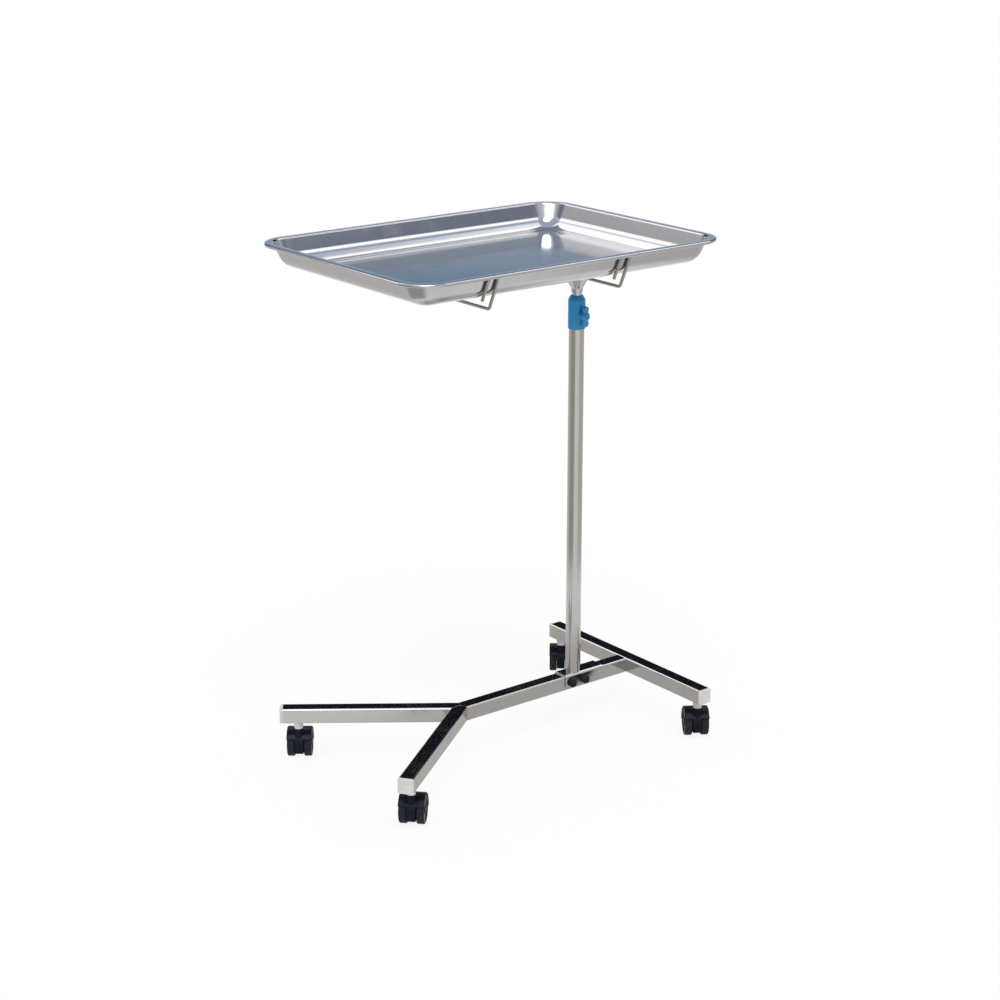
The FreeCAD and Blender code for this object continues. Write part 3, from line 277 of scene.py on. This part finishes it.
class PlasticSettings(bpy.types.PropertyGroup):
    """Colours of the moulded pieces."""

    clamp_colour: bpy.props.FloatVectorProperty(
        name="Clamp colour", description="Colour of the clamp collar and its wing knob",
        subtype="COLOR", size=3, min=0, max=1, default=(0.018, 0.235, 0.500))
    end_cap_colour: bpy.props.FloatVectorProperty(
        name="End cap colour", description="Colour of the caps in the open tube ends",
        subtype="COLOR", size=3, min=0, max=1, default=(0.58, 0.58, 0.57))
    bolt_cap_colour: bpy.props.FloatVectorProperty(
        name="Bolt cap colour", description="Colour of the push-on caps over the saddle bolts",
        subtype="COLOR", size=3, min=0, max=1, default=(0.010, 0.010, 0.012))
    castor_colour: bpy.props.FloatVectorProperty(
        name="Castor colour", description="Colour of the castor hoods and wheels",
        subtype="COLOR", size=3, min=0, max=1, default=(0.003, 0.004, 0.013))
    nylon_colour: bpy.props.FloatVectorProperty(
        name="Nylon colour", description="Colour of the bushes and the pressure pad",
        subtype="COLOR", size=3, min=0, max=1, default=(0.74, 0.73, 0.68))


class StudioSettings(bpy.types.PropertyGroup):
    """Camera, lamps and floor."""

    camera_place: bpy.props.FloatVectorProperty(
        name="Camera place", description="Where the camera stands",
        subtype="TRANSLATION", size=3, default=(-2.0398, -2.6286, 1.4987))
    camera_turn: bpy.props.FloatVectorProperty(
        name="Camera turn", description="Rotation of the camera",
        subtype="EULER", size=3, default=(math.pi / 2 - 0.3111, 0.0, -0.6605))
    camera_lens: bpy.props.FloatProperty(
        name="Camera lens", description="Focal length on a 36 mm wide sensor",
        unit="CAMERA", min=1, default=78.2)
    floor_colour: bpy.props.FloatVectorProperty(
        name="Floor colour", description="Colour of the pale floor",
        subtype="COLOR", size=3, min=0, max=1, default=(0.86, 0.86, 0.86))
    floor_whiteness: bpy.props.FloatProperty(
        name="Floor whiteness", description="How far the camera sees the floor as plain white",
        subtype="FACTOR", min=0, max=1, default=0.90)
    key_strength: bpy.props.FloatProperty(
        name="Key lamp", description="Irradiance of the soft lamp overhead",
        unit="POWER", min=0, default=1.2)
    room_strength: bpy.props.FloatProperty(
        name="Room light", description="Strength of the even light from all around",
        min=0, default=0.85)


# Shaders

class Value:
    """An output inside a shader; arithmetic on it adds Math nodes."""

    def __init__(self, shader, socket):
        self.shader = shader
        self.socket = socket

    def math(self, operation, first, second):
        return self.shader.node("Math", {"operation": operation}, {0: first, 1: second})

    def __add__(self, other):
        return self.math("ADD", self, other)

    def __radd__(self, other):
        return self.math("ADD", other, self)

    def __sub__(self, other):
        return self.math("SUBTRACT", self, other)

    def __rsub__(self, other):
        return self.math("SUBTRACT", other, self)

    def __mul__(self, other):
        return self.math("MULTIPLY", self, other)

    def __rmul__(self, other):
        return self.math("MULTIPLY", other, self)


class Shader:
    """The node tree of a material or of the world, built from nodes and expressions."""

    def __init__(self, owner):
        owner.use_nodes = True
        self.tree = owner.node_tree
        self.tree.nodes.clear()

    def node(self, kind, settings=None, inputs=None, output=0):
        """Add a node, apply its settings, then fill or link its sockets; gives one output."""
        made = self.tree.nodes.new("ShaderNode" + kind)
        for setting, value in (settings or {}).items():
            if setting == "stops":
                set_stops(made.color_ramp, value)
            else:
                setattr(made, setting, value)
        for name, value in (inputs or {}).items():
            if isinstance(value, Value):
                self.tree.links.new(value.socket, made.inputs[name])
            else:
                made.inputs[name].default_value = value
        return Value(self, made.outputs[output]) if made.outputs else None

    def own_place(self):
        """Coordinates of the piece itself in metres, which travel with it."""
        return self.node("TexCoord", output="Object")

    def towards(self, direction, heading, elevation, spread):
        """1 near a heading and elevation and 0 away from it; spread is (outer, inner) degrees."""
        outer, inner = (math.cos(math.radians(angle)) for angle in spread)
        aim = direction_of(heading, elevation)
        return self.ramp(self.vector("DOT_PRODUCT", direction, aim, output="Value"), outer, inner)

    def vector(self, operation, *operands, output=0):
        """Vector Math node on one or two operands."""
        return self.node("VectorMath", {"operation": operation}, dict(enumerate(operands)), output)

    def grain_space(self, run, length, width):
        """Coordinates counted in grain lengths along the run and grain widths across it."""
        turn = UPRIGHT.rotation_difference(run).to_euler()
        return self.node("Mapping", {"vector_type": "TEXTURE"}, {
            "Vector": self.own_place(), "Rotation": turn, "Scale": (width, width, length)})

    def turned_space(self, centre, axis):
        """Distance from a turned piece's axis, and coordinates of that and the height along it."""
        arm = self.vector("SUBTRACT", self.own_place(), centre)
        radius = self.vector("LENGTH", self.vector("CROSS_PRODUCT", arm, axis), output="Value")
        height = self.vector("DOT_PRODUCT", arm, axis, output="Value")
        return radius, self.node("CombineXYZ", {}, {"X": radius, "Y": height})

    def noise(self, where, size=1.0, detail=2.0, roughness=0.5):
        """Cloudy pattern from 0 to 1 whose features are about as large as size."""
        return self.node("TexNoise", {}, {"Vector": where, "Scale": 1 / size, "Detail": detail,
                                          "Roughness": roughness})

    def by_elevation(self, height, colours):
        """Colour for the height of a direction, from (elevation in degrees, colour) pairs."""
        stops = [(from_zero(math.sin(math.radians(rise))), colour) for rise, colour in colours]
        return self.node("ValToRGB", {"stops": stops}, {0: from_zero(height)})

    def ramp(self, value, low, high, from_value=0.0, to_value=1.0):
        """Smooth step from one value to another as the input goes from low to high."""
        return self.node("MapRange", {"interpolation_type": "SMOOTHSTEP"}, {
            "Value": value, "From Min": low, "From Max": high, "To Min": from_value,
            "To Max": to_value})

    def mix(self, factor, first, second):
        """Colour between two colours."""
        return self.node("Mix", {"data_type": "RGBA"},
                         {0: factor, MIX_FIRST: first, MIX_SECOND: second}, MIX_RESULT)

    def soft_edges(self, radius):
        """Normal with every sharp edge rounded by the radius."""
        return self.node("Bevel", {"samples": BEVEL_SAMPLES}, {"Radius": radius})

    def edge_mask(self, rounded):
        """1 along the rounded edges and 0 on plain faces."""
        true = self.node("NewGeometry", output="Normal")
        facing = self.vector("DOT_PRODUCT", rounded, true, output="Value")
        return self.ramp(facing, *EDGE_STEP)

    def relief(self, height, depth, normal):
        """Bumps of the given depth in metres on top of a normal."""
        return self.node("Bump", {}, {"Strength": 1.0, "Distance": depth, "Height": height,
                                      "Normal": normal})

    def surface(self, colour, roughness, normal, **fixed):
        """Principled surface with the varying inputs and any fixed ones, as the output."""
        inputs = {"Base Color": colour, "Roughness": roughness, "Normal": normal}
        inputs.update({name.replace("_", " "): value for name, value in fixed.items()})
        self.node("OutputMaterial", {}, {
            "Surface": self.node("BsdfPrincipled", {}, inputs)})


def from_zero(value):
    """The range from -1 to 1 brought to 0 to 1, for a number or a shader's value."""
    return 0.5 + 0.5 * value


def direction_of(heading, elevation):
    """Unit vector towards a heading from +X and an elevation, both in degrees."""
    level = math.cos(math.radians(elevation))
    return Vector((level * math.cos(math.radians(heading)), level * math.sin(math.radians(heading)),
                   math.sin(math.radians(elevation))))


def set_stops(ramp, stops):
    """Give a colour ramp these (position, colour) stops."""
    while len(ramp.elements) < len(stops):
        ramp.elements.new(1.0)
    for element, (position, colour) in zip(ramp.elements, stops):
        element.position = position
        element.color = opaque(colour)


def opaque(colour):
    """Red, green, blue and full alpha."""
    return (*colour, 1.0)


def shaded(colour, share):
    """The colour made lighter or darker by a share."""
    return opaque(min(channel * share, 1.0) for channel in colour)


def new_shader(name):
    """Material and its shader."""
    material = bpy.data.materials.new(name)
    return material, Shader(material)


# Finishes

def polished_steel(name, colour, roughness, run, edge, wave_depth=0.0):
    """Polished stainless with drawn grain along the run, hairlines, smudges and soft edges."""
    material, shader = new_shader(name)
    place = shader.own_place()
    grain = shader.noise(shader.grain_space(run, GRAIN_LENGTH, GRAIN_WIDTH), detail=3)
    scratches = shader.noise(shader.grain_space(run, SCRATCH_LENGTH, SCRATCH_WIDTH), detail=4,
                             roughness=0.6)
    hairlines = shader.ramp(scratches, *HAIRLINE_STEP)
    smears = shader.noise(place, SMUDGE_SIZE, detail=5, roughness=0.6)
    smudges = shader.ramp(smears, *SMUDGE_STEP)
    wave = shader.noise(place, SHEET_WAVE_SIZE, detail=1)
    rough = (roughness + GRAIN_ROUGHENS * (grain - NOISE_MEAN) + SMUDGES_ROUGHEN * smudges
             + HAIRLINES_ROUGHEN * hairlines)
    tint = shader.mix(SMUDGES_TINT * smudges + GRAIN_TINTS * grain, opaque(colour),
                      shaded(colour, MARKED_STEEL))
    rolled = shader.relief(wave, wave_depth, shader.soft_edges(edge))
    normal = shader.relief(grain - HAIRLINES_CUT * hairlines, GRAIN_DEPTH, rolled)
    shader.surface(tint, rough, normal, Metallic=1.0)
    return material


def turned_steel(name, colour, roughness, centre, axis, edge):
    """Turned or spun metal with fine rings round its axis."""
    material, shader = new_shader(name)
    _, across = shader.turned_space(centre, axis)
    rings = shader.noise(across, TURNED_LINE_WIDTH, detail=2)
    smears = shader.noise(shader.own_place(), SMUDGE_SIZE, detail=5)
    smudges = shader.ramp(smears, *TURNED_SMUDGE_STEP)
    tint = shader.mix(TURNED_SMUDGES_TINT * smudges + RINGS_TINT * rings, opaque(colour),
                      shaded(colour, MARKED_TURNED_STEEL))
    rough = roughness + RINGS_ROUGHEN * (rings - NOISE_MEAN) + TURNED_SMUDGES_ROUGHEN * smudges
    normal = shader.relief(rings, TURNED_LINE_DEPTH, shader.soft_edges(edge))
    shader.surface(tint, rough, normal, Metallic=1.0)
    return material


def zinc_plate(colour):
    """Zinc plating on fasteners and pins: cool and cloudy, brighter on worn edges."""
    material, shader = new_shader("zinc_plate")
    place = shader.own_place()
    spangle = shader.noise(place, SPANGLE_SIZE, detail=4, roughness=0.6)
    blush = shader.ramp(shader.noise(place, BLUSH_SIZE, detail=2), *BLUSH_STEP)
    edges = shader.soft_edges(SHEET_EDGE)
    worn = shader.edge_mask(edges)
    cool = shader.mix(blush, opaque(colour), opaque(BLUSH_COLOUR))
    tint = shader.mix(worn, cool, shaded(colour, WORN_ZINC))
    rough = ZINC_ROUGHNESS + SPANGLE_ROUGHENS * (spangle - NOISE_MEAN) - WEAR_POLISHES_ZINC * worn
    shader.surface(tint, rough, shader.relief(spangle, SPANGLE_DEPTH, edges), Metallic=1.0)
    return material


def moulded_plastic(name, colour, roughness, edge, rub=EDGE_RUB, gloss=PLASTIC_GLOSS):
    """Moulded plastic: fine tool grain, faint flow clouding, and edges rubbed lighter."""
    material, shader = new_shader(name)
    place = shader.own_place()
    grain = shader.noise(place, MOULD_GRAIN_SIZE, detail=2)
    flow = shader.ramp(shader.noise(place, MOULD_FLOW_SIZE, detail=3), *FLOW_STEP)
    dust = shader.ramp(shader.noise(place, DUST_SIZE, detail=6, roughness=0.65), *DUST_STEP)
    edges = shader.soft_edges(edge)
    worn = rub * shader.edge_mask(edges)
    base = shader.mix(flow, *(shaded(colour, share) for share in FLOW_SHADES))
    pale = opaque(channel + RUBBED_PALE * (1 - channel) for channel in colour)
    tint = shader.mix(worn + DUST_TINTS * dust, base, pale)
    rough = (roughness + MOULD_GRAIN_ROUGHENS * (grain - NOISE_MEAN) + DUST_ROUGHENS * dust
             + WEAR_ROUGHENS_PLASTIC * worn)
    shader.surface(tint, rough, shader.relief(grain, MOULD_GRAIN_DEPTH, edges),
                   Specular_IOR_Level=gloss)
    return material


def castor_wheel_plastic(name, colour, centre, axis, radius):
    """Wheel moulding: satin faces with turned rings, and a tread dulled by the floor."""
    material, shader = new_shader(name)
    place = shader.own_place()
    distance, across = shader.turned_space(centre, axis)
    rings = shader.noise(across, WHEEL_LINE_WIDTH, detail=2)
    grime = shader.noise(place, GRIME_SIZE, detail=6, roughness=0.65)
    tread = shader.ramp(distance, *(share * radius for share in TREAD_STEP))
    dulled = tread * shader.ramp(grime, *GRIME_STEP, *GRIME_RANGE)
    edges = shader.soft_edges(MOULDED_EDGE)
    worn = shader.edge_mask(edges)
    tint = shader.mix(GRIME_TINTS * dulled + WHEEL_WEAR_TINTS * worn, opaque(colour),
                      opaque(GRIME_COLOUR))
    rough = WHEEL_ROUGHNESS + GRIME_ROUGHENS * dulled + WHEEL_RINGS_ROUGHEN * (rings - NOISE_MEAN)
    normal = shader.relief(rings + GRIME_STANDS_OUT * tread * grime, MOULD_GRAIN_DEPTH, edges)
    shader.surface(tint, rough, normal, Specular_IOR_Level=BLACK_GLOSS)
    return material


def finish(material, *names):
    """Put a material on CAD nodes in place of the plain one."""
    for name in names:
        node = frame["nodes"][name]
        node.data.materials.clear()
        node.data.materials.append(material)


# Pressed sheet

def bent_line(points, bends):
    """The path with its inner corners bent to their radii, as (place, right-hand side) pairs."""
    line = [(points[0], right_of(points[1] - points[0]))]
    for before, corner, after, radius in zip(points, points[1:], points[2:], bends):
        start, end = (corner - before).normalized(), (after - corner).normalized()
        turn = start.angle_signed(end)
        tangent = radius * math.tan(abs(turn) / 2)
        side = right_of(start) if turn > 0 else -right_of(start)
        centre = corner - start * tangent + side * radius
        steps = max(2, round(math.degrees(abs(turn)) / DEGREES_PER_FACET))
        for step in range(steps + 1):
            swing = Matrix.Rotation(-turn * step / steps, 2)
            line.append((centre - radius * (swing @ side), swing @ right_of(start)))
    line.append((points[-1], right_of(points[-1] - points[-2])))
    return line


def right_of(direction):
    """Unit vector to the right of a direction in the section's plane."""
    return Vector((direction.y, -direction.x)).normalized()


def tray_section(tray):
    """Closed outline of the sheet as (distance out from the corner's centre, height) points."""
    floor_top = TRAY_LOW.z + tray.sheet
    rim = TRAY_HIGH.z
    wall_top = tray.corner_radius - tray.rim_flat
    wall_foot = wall_top - (rim - floor_top) * math.tan(tray.wall_lean)
    bend_start = wall_foot - tray.floor_bend * math.tan((math.pi / 2 - tray.wall_lean) / 2)
    hem_end = tray.corner_radius - tray.hem
    points = [Vector(place) for place in (
        (bend_start - FLOOR_MARGIN, floor_top), (wall_foot, floor_top), (wall_top, rim),
        (tray.corner_radius, rim), (tray.corner_radius, rim - tray.lip),
        (hem_end, rim - tray.lip))]
    bends = (tray.floor_bend, tray.rim_bend + tray.sheet, tray.rim_bend, tray.rim_bend)
    skin = bent_line(points, bends)
    return [place for place, side in skin] + [place + tray.sheet * side
                                              for place, side in reversed(skin)]


def pressed_tray(tray):
    """Mesh of the tray: its section carried round the four corners, and a floor."""
    section = tray_section(tray)
    half_x = (TRAY_HIGH.x - TRAY_LOW.x) / 2 - tray.corner_radius
    half_y = (TRAY_HIGH.y - TRAY_LOW.y) / 2 - tray.corner_radius
    shape = bmesh.new()
    rings = []
    for quarter, (side_x, side_y) in enumerate(((1, 1), (-1, 1), (-1, -1), (1, -1))):
        for step in range(CORNER_FACETS + 1):
            heading = math.radians(90 * (quarter + step / CORNER_FACETS))
            rings.append([shape.verts.new((
                TRAY_MIDDLE.x + side_x * half_x + out * math.cos(heading),
                TRAY_MIDDLE.y + side_y * half_y + out * math.sin(heading), height))
                for out, height in section])
    for ring, following in zip(rings, rings[1:] + rings[:1]):
        for inner in range(len(section) - 1):
            shape.faces.new((ring[inner], ring[inner + 1], following[inner + 1], following[inner]))
    shape.faces.new([ring[0] for ring in rings])
    shape.faces.new([ring[-1] for ring in reversed(rings)])
    bmesh.ops.recalc_face_normals(shape, faces=shape.faces)
    mesh = bpy.data.meshes.new("pressed_tray")
    shape.to_mesh(mesh)
    shape.free()
    mesh.shade_smooth()
    mesh.set_sharp_from_angle(angle=SHARP_ANGLE)
    return mesh


def add_piece(name, mesh, material, body):
    """Link a new piece that rides on a body and wears the given material."""
    piece = bpy.data.objects.new(name, mesh)
    mesh.materials.append(material)
    bpy.context.scene.collection.objects.link(piece)
    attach(piece, body)
    return piece


# Operators

class TableOperator:
    """What all operators of the table share."""

    bl_options = {"REGISTER", "UNDO"}


class TABLE_OT_tray(TableOperator, bpy.types.Operator):
    """Press the tray with its rounded floor bend, rim, lip and hem, and polish it"""

    bl_idname = "instrument_table.tray"
    bl_label = "Tray"

    def execute(self, context):
        steel = context.scene.table_steel
        polish = polished_steel("tray_sheet", steel.tray_colour, steel.tray_roughness, ALONG_X,
                                SHEET_EDGE, SHEET_WAVE_DEPTH)
        finish(polish, "tray")
        tray = add_piece("pressed_tray", pressed_tray(context.scene.table_tray), polish, "tray")
        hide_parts("tray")
        return {"FINISHED"}


class TABLE_OT_head(TableOperator, bpy.types.Operator):
    """Finish the arm, hook rods and spun cone under the tray"""

    bl_idname = "instrument_table.head"
    bl_label = "Tray support"

    def execute(self, context):
        steel = context.scene.table_steel
        plastic = context.scene.table_plastic
        finish(polished_steel("arm_tube", steel.tube_colour, steel.tube_roughness, ALONG_X,
                              TUBE_EDGE), "tray_arm")
        finish(polished_steel("hook_wire", steel.wire_colour, steel.wire_roughness, ALONG_Y,
                              SHEET_EDGE), "fork_side_hook_rod", "post_side_hook_rod")
        finish(turned_steel("spun_cone", steel.tube_colour, steel.tube_roughness, POST_MIDDLE,
                            UPRIGHT, SHEET_EDGE), "support_cone")
        finish(moulded_plastic("arm_cap", plastic.end_cap_colour, END_CAP_ROUGHNESS, MOULDED_EDGE),
               "arm_end_caps")
        return {"FINISHED"}


class TABLE_OT_post(TableOperator, bpy.types.Operator):
    """Finish the telescopic post and what slides in it"""

    bl_idname = "instrument_table.post"
    bl_label = "Post"

    def execute(self, context):
        steel = context.scene.table_steel
        plastic = context.scene.table_plastic
        finish(polished_steel("post_tube", steel.tube_colour, steel.tube_roughness, UPRIGHT,
                              TUBE_EDGE), "outer_tube", "inner_tube")
        finish(turned_steel("post_collars", steel.zinc_colour, COLLAR_ROUGHNESS, POST_MIDDLE,
                            UPRIGHT, SHEET_EDGE), "stop_ring", "foot_plug", "retaining_ring")
        finish(moulded_plastic("bush_nylon", plastic.nylon_colour, BUSH_ROUGHNESS, SHEET_EDGE),
               "top_bush", "guide_bush", "clamp_pad")
        finish(moulded_plastic("plug_moulding", plastic.bolt_cap_colour, PLUG_ROUGHNESS,
                               SHEET_EDGE), "retainer_plug")
        return {"FINISHED"}


class TABLE_OT_clamp(TableOperator, bpy.types.Operator):
    """Finish the blue clamp collar, its knob, and the brass insert"""

    bl_idname = "instrument_table.clamp"
    bl_label = "Height clamp"

    def execute(self, context):
        steel = context.scene.table_steel
        plastic = context.scene.table_plastic
        finish(moulded_plastic("clamp_moulding", plastic.clamp_colour, CLAMP_ROUGHNESS,
                               MOULDED_EDGE, CLAMP_RUB, CLAMP_GLOSS), "clamp_collar", "wing_knob")
        low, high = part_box("clamp_insert")
        finish(turned_steel("insert_brass", steel.brass_colour, BRASS_ROUGHNESS, (low + high) / 2,
                            ALONG_Y, SHEET_EDGE), "clamp_insert")
        return {"FINISHED"}


class TABLE_OT_base(TableOperator, bpy.types.Operator):
    """Finish the tubes of the base, their caps and the saddle"""

    bl_idname = "instrument_table.base"
    bl_label = "Base"

    def execute(self, context):
        steel = context.scene.table_steel
        plastic = context.scene.table_plastic
        # Each of these runs is the other arm's, so the grain crosses the arms. It should be swapped
        back_run = Vector((-math.cos(FORK_ARM_HEADING), math.sin(FORK_ARM_HEADING), 0))
        front_run = Vector((back_run.x, -back_run.y, 0))
        runs = {"centre_beam": ALONG_X, "foot_saddle": ALONG_X, "crossbar": ALONG_Y,
                "fork_arm_back": back_run, "fork_arm_front": front_run}
        for node, run in runs.items():
            finish(polished_steel(node + "_steel", steel.tube_colour, steel.tube_roughness, run,
                                  TUBE_EDGE), node)
        finish(moulded_plastic("tube_cap", plastic.end_cap_colour, END_CAP_ROUGHNESS,
                               MOULDED_EDGE), "tube_end_caps")
        finish(moulded_plastic("bolt_cap", plastic.bolt_cap_colour, BOLT_CAP_ROUGHNESS,
                               MOULDED_EDGE, BOLT_CAP_RUB, BLACK_GLOSS), "bolt_caps")
        return {"FINISHED"}


class TABLE_OT_fasteners(TableOperator, bpy.types.Operator):
    """Plate the screws, nuts, pins, stems and sockets"""

    bl_idname = "instrument_table.fasteners"
    bl_label = "Fasteners and pins"

    def execute(self, context):
        zinc = zinc_plate(context.scene.table_steel.zinc_colour)
        finish(zinc, "head_screws", "head_nuts", "stop_pin", "clamp_screw", "foot_bolt",
               "saddle_bolts", "saddle_nuts", "castor_sockets")
        for castor in CASTORS:
            finish(zinc, f"{castor}_castor_stem", f"{castor}_castor_axle")
        return {"FINISHED"}


class TABLE_OT_castors(TableOperator, bpy.types.Operator):
    """Finish the castor hoods and wheels"""

    bl_idname = "instrument_table.castors"
    bl_label = "Castors"

    def execute(self, context):
        colour = context.scene.table_plastic.castor_colour
        hood = moulded_plastic("castor_hood", colour, HOOD_ROUGHNESS, MOULDED_EDGE, HOOD_RUB,
                               BLACK_GLOSS)
        for castor in CASTORS:
            finish(hood, f"{castor}_castor_hood")
            for side in WHEEL_SIDES:
                node = f"{castor}_castor_{side}_wheel"
                joint = joint_named(f"{castor}_{side}_wheel_spin")
                low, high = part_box(node)
                finish(castor_wheel_plastic(node + "_moulding", colour, (low + high) / 2,
                                            Vector(joint["axis"]), (high.z - low.z) / 2), node)
        return {"FINISHED"}


def joint_named(name):
    """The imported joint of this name."""
    return next(joint for joint in frame["joints"] if joint["name"] == name)


# Stage

def floor_material(studio):
    """Pale floor that keeps its shadow; metal mirrors it with painted shade in places round the
    post and at its foot.
    """
    material, shader = new_shader("pale_floor")
    foot = Vector((POST_MIDDLE.x, POST_MIDDLE.y, 0))
    away = shader.vector("SUBTRACT", shader.own_place(), foot)
    outward = shader.vector("NORMALIZE", away)
    distance = shader.vector("LENGTH", away, output="Value")
    far = shader.ramp(distance, *FLOOR_PAINTED_SHADE_FROM)
    mirrored = WHITE
    # Painted shade: the floor's glow for glossy rays is darkened in these directions from the post
    for side in FLOOR_PAINTED_SHADE:
        there = far * shader.towards(outward, side["heading"], 0, side["spread"])
        mirrored = shader.mix(there, mirrored, opaque(side["colour"]))
    # Painted contact shadow: the glow that metal mirrors is darker close to the post's foot
    mirrored = shader.mix(shader.ramp(distance, *CONTACT_SHADE), mirrored,
                          opaque(CONTACT_SHADE_COLOUR))
    camera, glossy, clear = (shader.node("LightPath", output=f"Is {kind} Ray")
                             for kind in ("Camera", "Glossy", "Transmission"))
    paint = shader.node("BsdfDiffuse", {}, {"Color": opaque(studio.floor_colour)})
    glow = shader.node("Emission", {}, {"Color": shader.mix(glossy, WHITE, mirrored)})
    seen = studio.floor_whiteness * (camera + glossy + clear)
    shader.node("OutputMaterial", {}, {
        "Surface": shader.node("MixShader", {}, {0: seen, 1: paint, 2: glow})})
    return material


def room_light(world, studio):
    """Even light all round; metal mirrors walls, dark behind, a long soft box and windows."""
    shader = Shader(world)
    direction = shader.node("TexCoord", output="Generated")
    height = shader.node("SeparateXYZ", {}, {0: direction}, "Z")
    level = shader.vector("NORMALIZE", shader.vector("MULTIPLY", direction, (1, 1, 0)))
    walls = shader.mix(shader.towards(direction, HEADING_BEHIND, 0, SPREAD_BEHIND),
                       shader.by_elevation(height, SIDE_WALLS),
                       shader.by_elevation(height, WALL_BEHIND))
    rise, fall = (shader.ramp(height, *(math.sin(math.radians(angle)) for angle in angles))
                  for angles in (SOFT_BOX_RISE, SOFT_BOX_FALL))
    soft_box = shader.towards(level, SOFT_BOX_HEADING, 0, SOFT_BOX_SPREAD) * rise * (1 - fall)
    bright = opaque(SOFT_BOX_COLOUR)
    shown = shader.mix(soft_box, walls, bright)
    for window in WINDOWS:
        there = shader.towards(direction, window["heading"], window["elevation"], window["spread"])
        shown = shader.mix(there, shown, bright)
    plain = shader.node("Background", {}, {"Color": WHITE, "Strength": studio.room_strength})
    mirror = shader.node("Background", {}, {"Color": shown, "Strength": 1.0})
    white = shader.node("Background", {}, {"Color": WHITE, "Strength": 1.0})
    lit = shader.node("MixShader", {}, {
        0: shader.node("LightPath", output="Is Glossy Ray"), 1: plain, 2: mirror})
    seen = shader.node("MixShader", {}, {
        0: shader.node("LightPath", output="Is Camera Ray"), 1: lit, 2: white})
    shader.node("OutputWorld", {}, {"Surface": seen})


class TABLE_OT_stage(TableOperator, bpy.types.Operator):
    """Lay the pale floor, set the soft lamp and room light, and aim the camera"""

    bl_idname = "instrument_table.stage"
    bl_label = "Stage"

    def execute(self, context):
        scene = context.scene
        studio = scene.table_studio
        half = FLOOR_HALF_WIDTH
        mesh = bpy.data.meshes.new("floor")
        mesh.from_pydata([(-half, -half, 0), (half, -half, 0), (half, half, 0), (-half, half, 0)],
                         [], [(0, 1, 2, 3)])
        mesh.materials.append(floor_material(studio))
        floor = bpy.data.objects.new("floor", mesh)
        scene.collection.objects.link(floor)

        lamp = bpy.data.lights.new("key_lamp", "SUN")
        lamp.energy = studio.key_strength
        lamp.angle = math.radians(KEY_LAMP_SPREAD)
        key = bpy.data.objects.new("key_lamp", lamp)
        key.rotation_euler = [math.radians(angle) for angle in KEY_LAMP_TILT]
        scene.collection.objects.link(key)

        scene.world = scene.world or bpy.data.worlds.new("studio")
        room_light(scene.world, studio)

        view = bpy.data.cameras.new("camera")
        view.lens = studio.camera_lens
        view.sensor_width = SENSOR_WIDTH
        camera = bpy.data.objects.new("camera", view)
        camera.location = studio.camera_place
        camera.rotation_euler = studio.camera_turn
        scene.collection.objects.link(camera)
        scene.camera = camera
        scene.view_settings.view_transform = "Standard"
        return {"FINISHED"}


PIECE_OPERATORS = (TABLE_OT_tray, TABLE_OT_head, TABLE_OT_post, TABLE_OT_clamp, TABLE_OT_base,
                   TABLE_OT_fasteners, TABLE_OT_castors, TABLE_OT_stage)


class TABLE_PT_panel(bpy.types.Panel):
    """Lists the table's pieces, the stage and their settings"""

    bl_idname = "TABLE_PT_panel"
    bl_label = "Instrument Table"
    bl_space_type = "VIEW_3D"
    bl_region_type = "UI"
    bl_category = "Instrument Table"

    def draw(self, context):
        for operator in PIECE_OPERATORS:
            self.layout.operator(operator.bl_idname)
        for settings in SETTINGS:
            group = getattr(context.scene, settings)
            box = self.layout.box()
            for name in group.bl_rna.properties.keys():
                if name not in ("rna_type", "name"):
                    box.prop(group, name)


SETTINGS = {"table_tray": TraySettings, "table_steel": SteelSettings,
            "table_plastic": PlasticSettings, "table_studio": StudioSettings}
CLASSES = (*SETTINGS.values(), *PIECE_OPERATORS, TABLE_PT_panel)


def register():
    for made in CLASSES:
        bpy.utils.register_class(made)
    for name, group in SETTINGS.items():
        setattr(bpy.types.Scene, name, bpy.props.PointerProperty(type=group))


def unregister():
    for name in SETTINGS:
        delattr(bpy.types.Scene, name)
    for made in reversed(CLASSES):
        bpy.utils.unregister_class(made)


def main():
    register()
    for piece in ("tray", "head", "post", "clamp", "base", "fasteners", "castors", "stage"):
        getattr(bpy.ops.instrument_table, piece)()


if __name__ == "__main__":
    main()
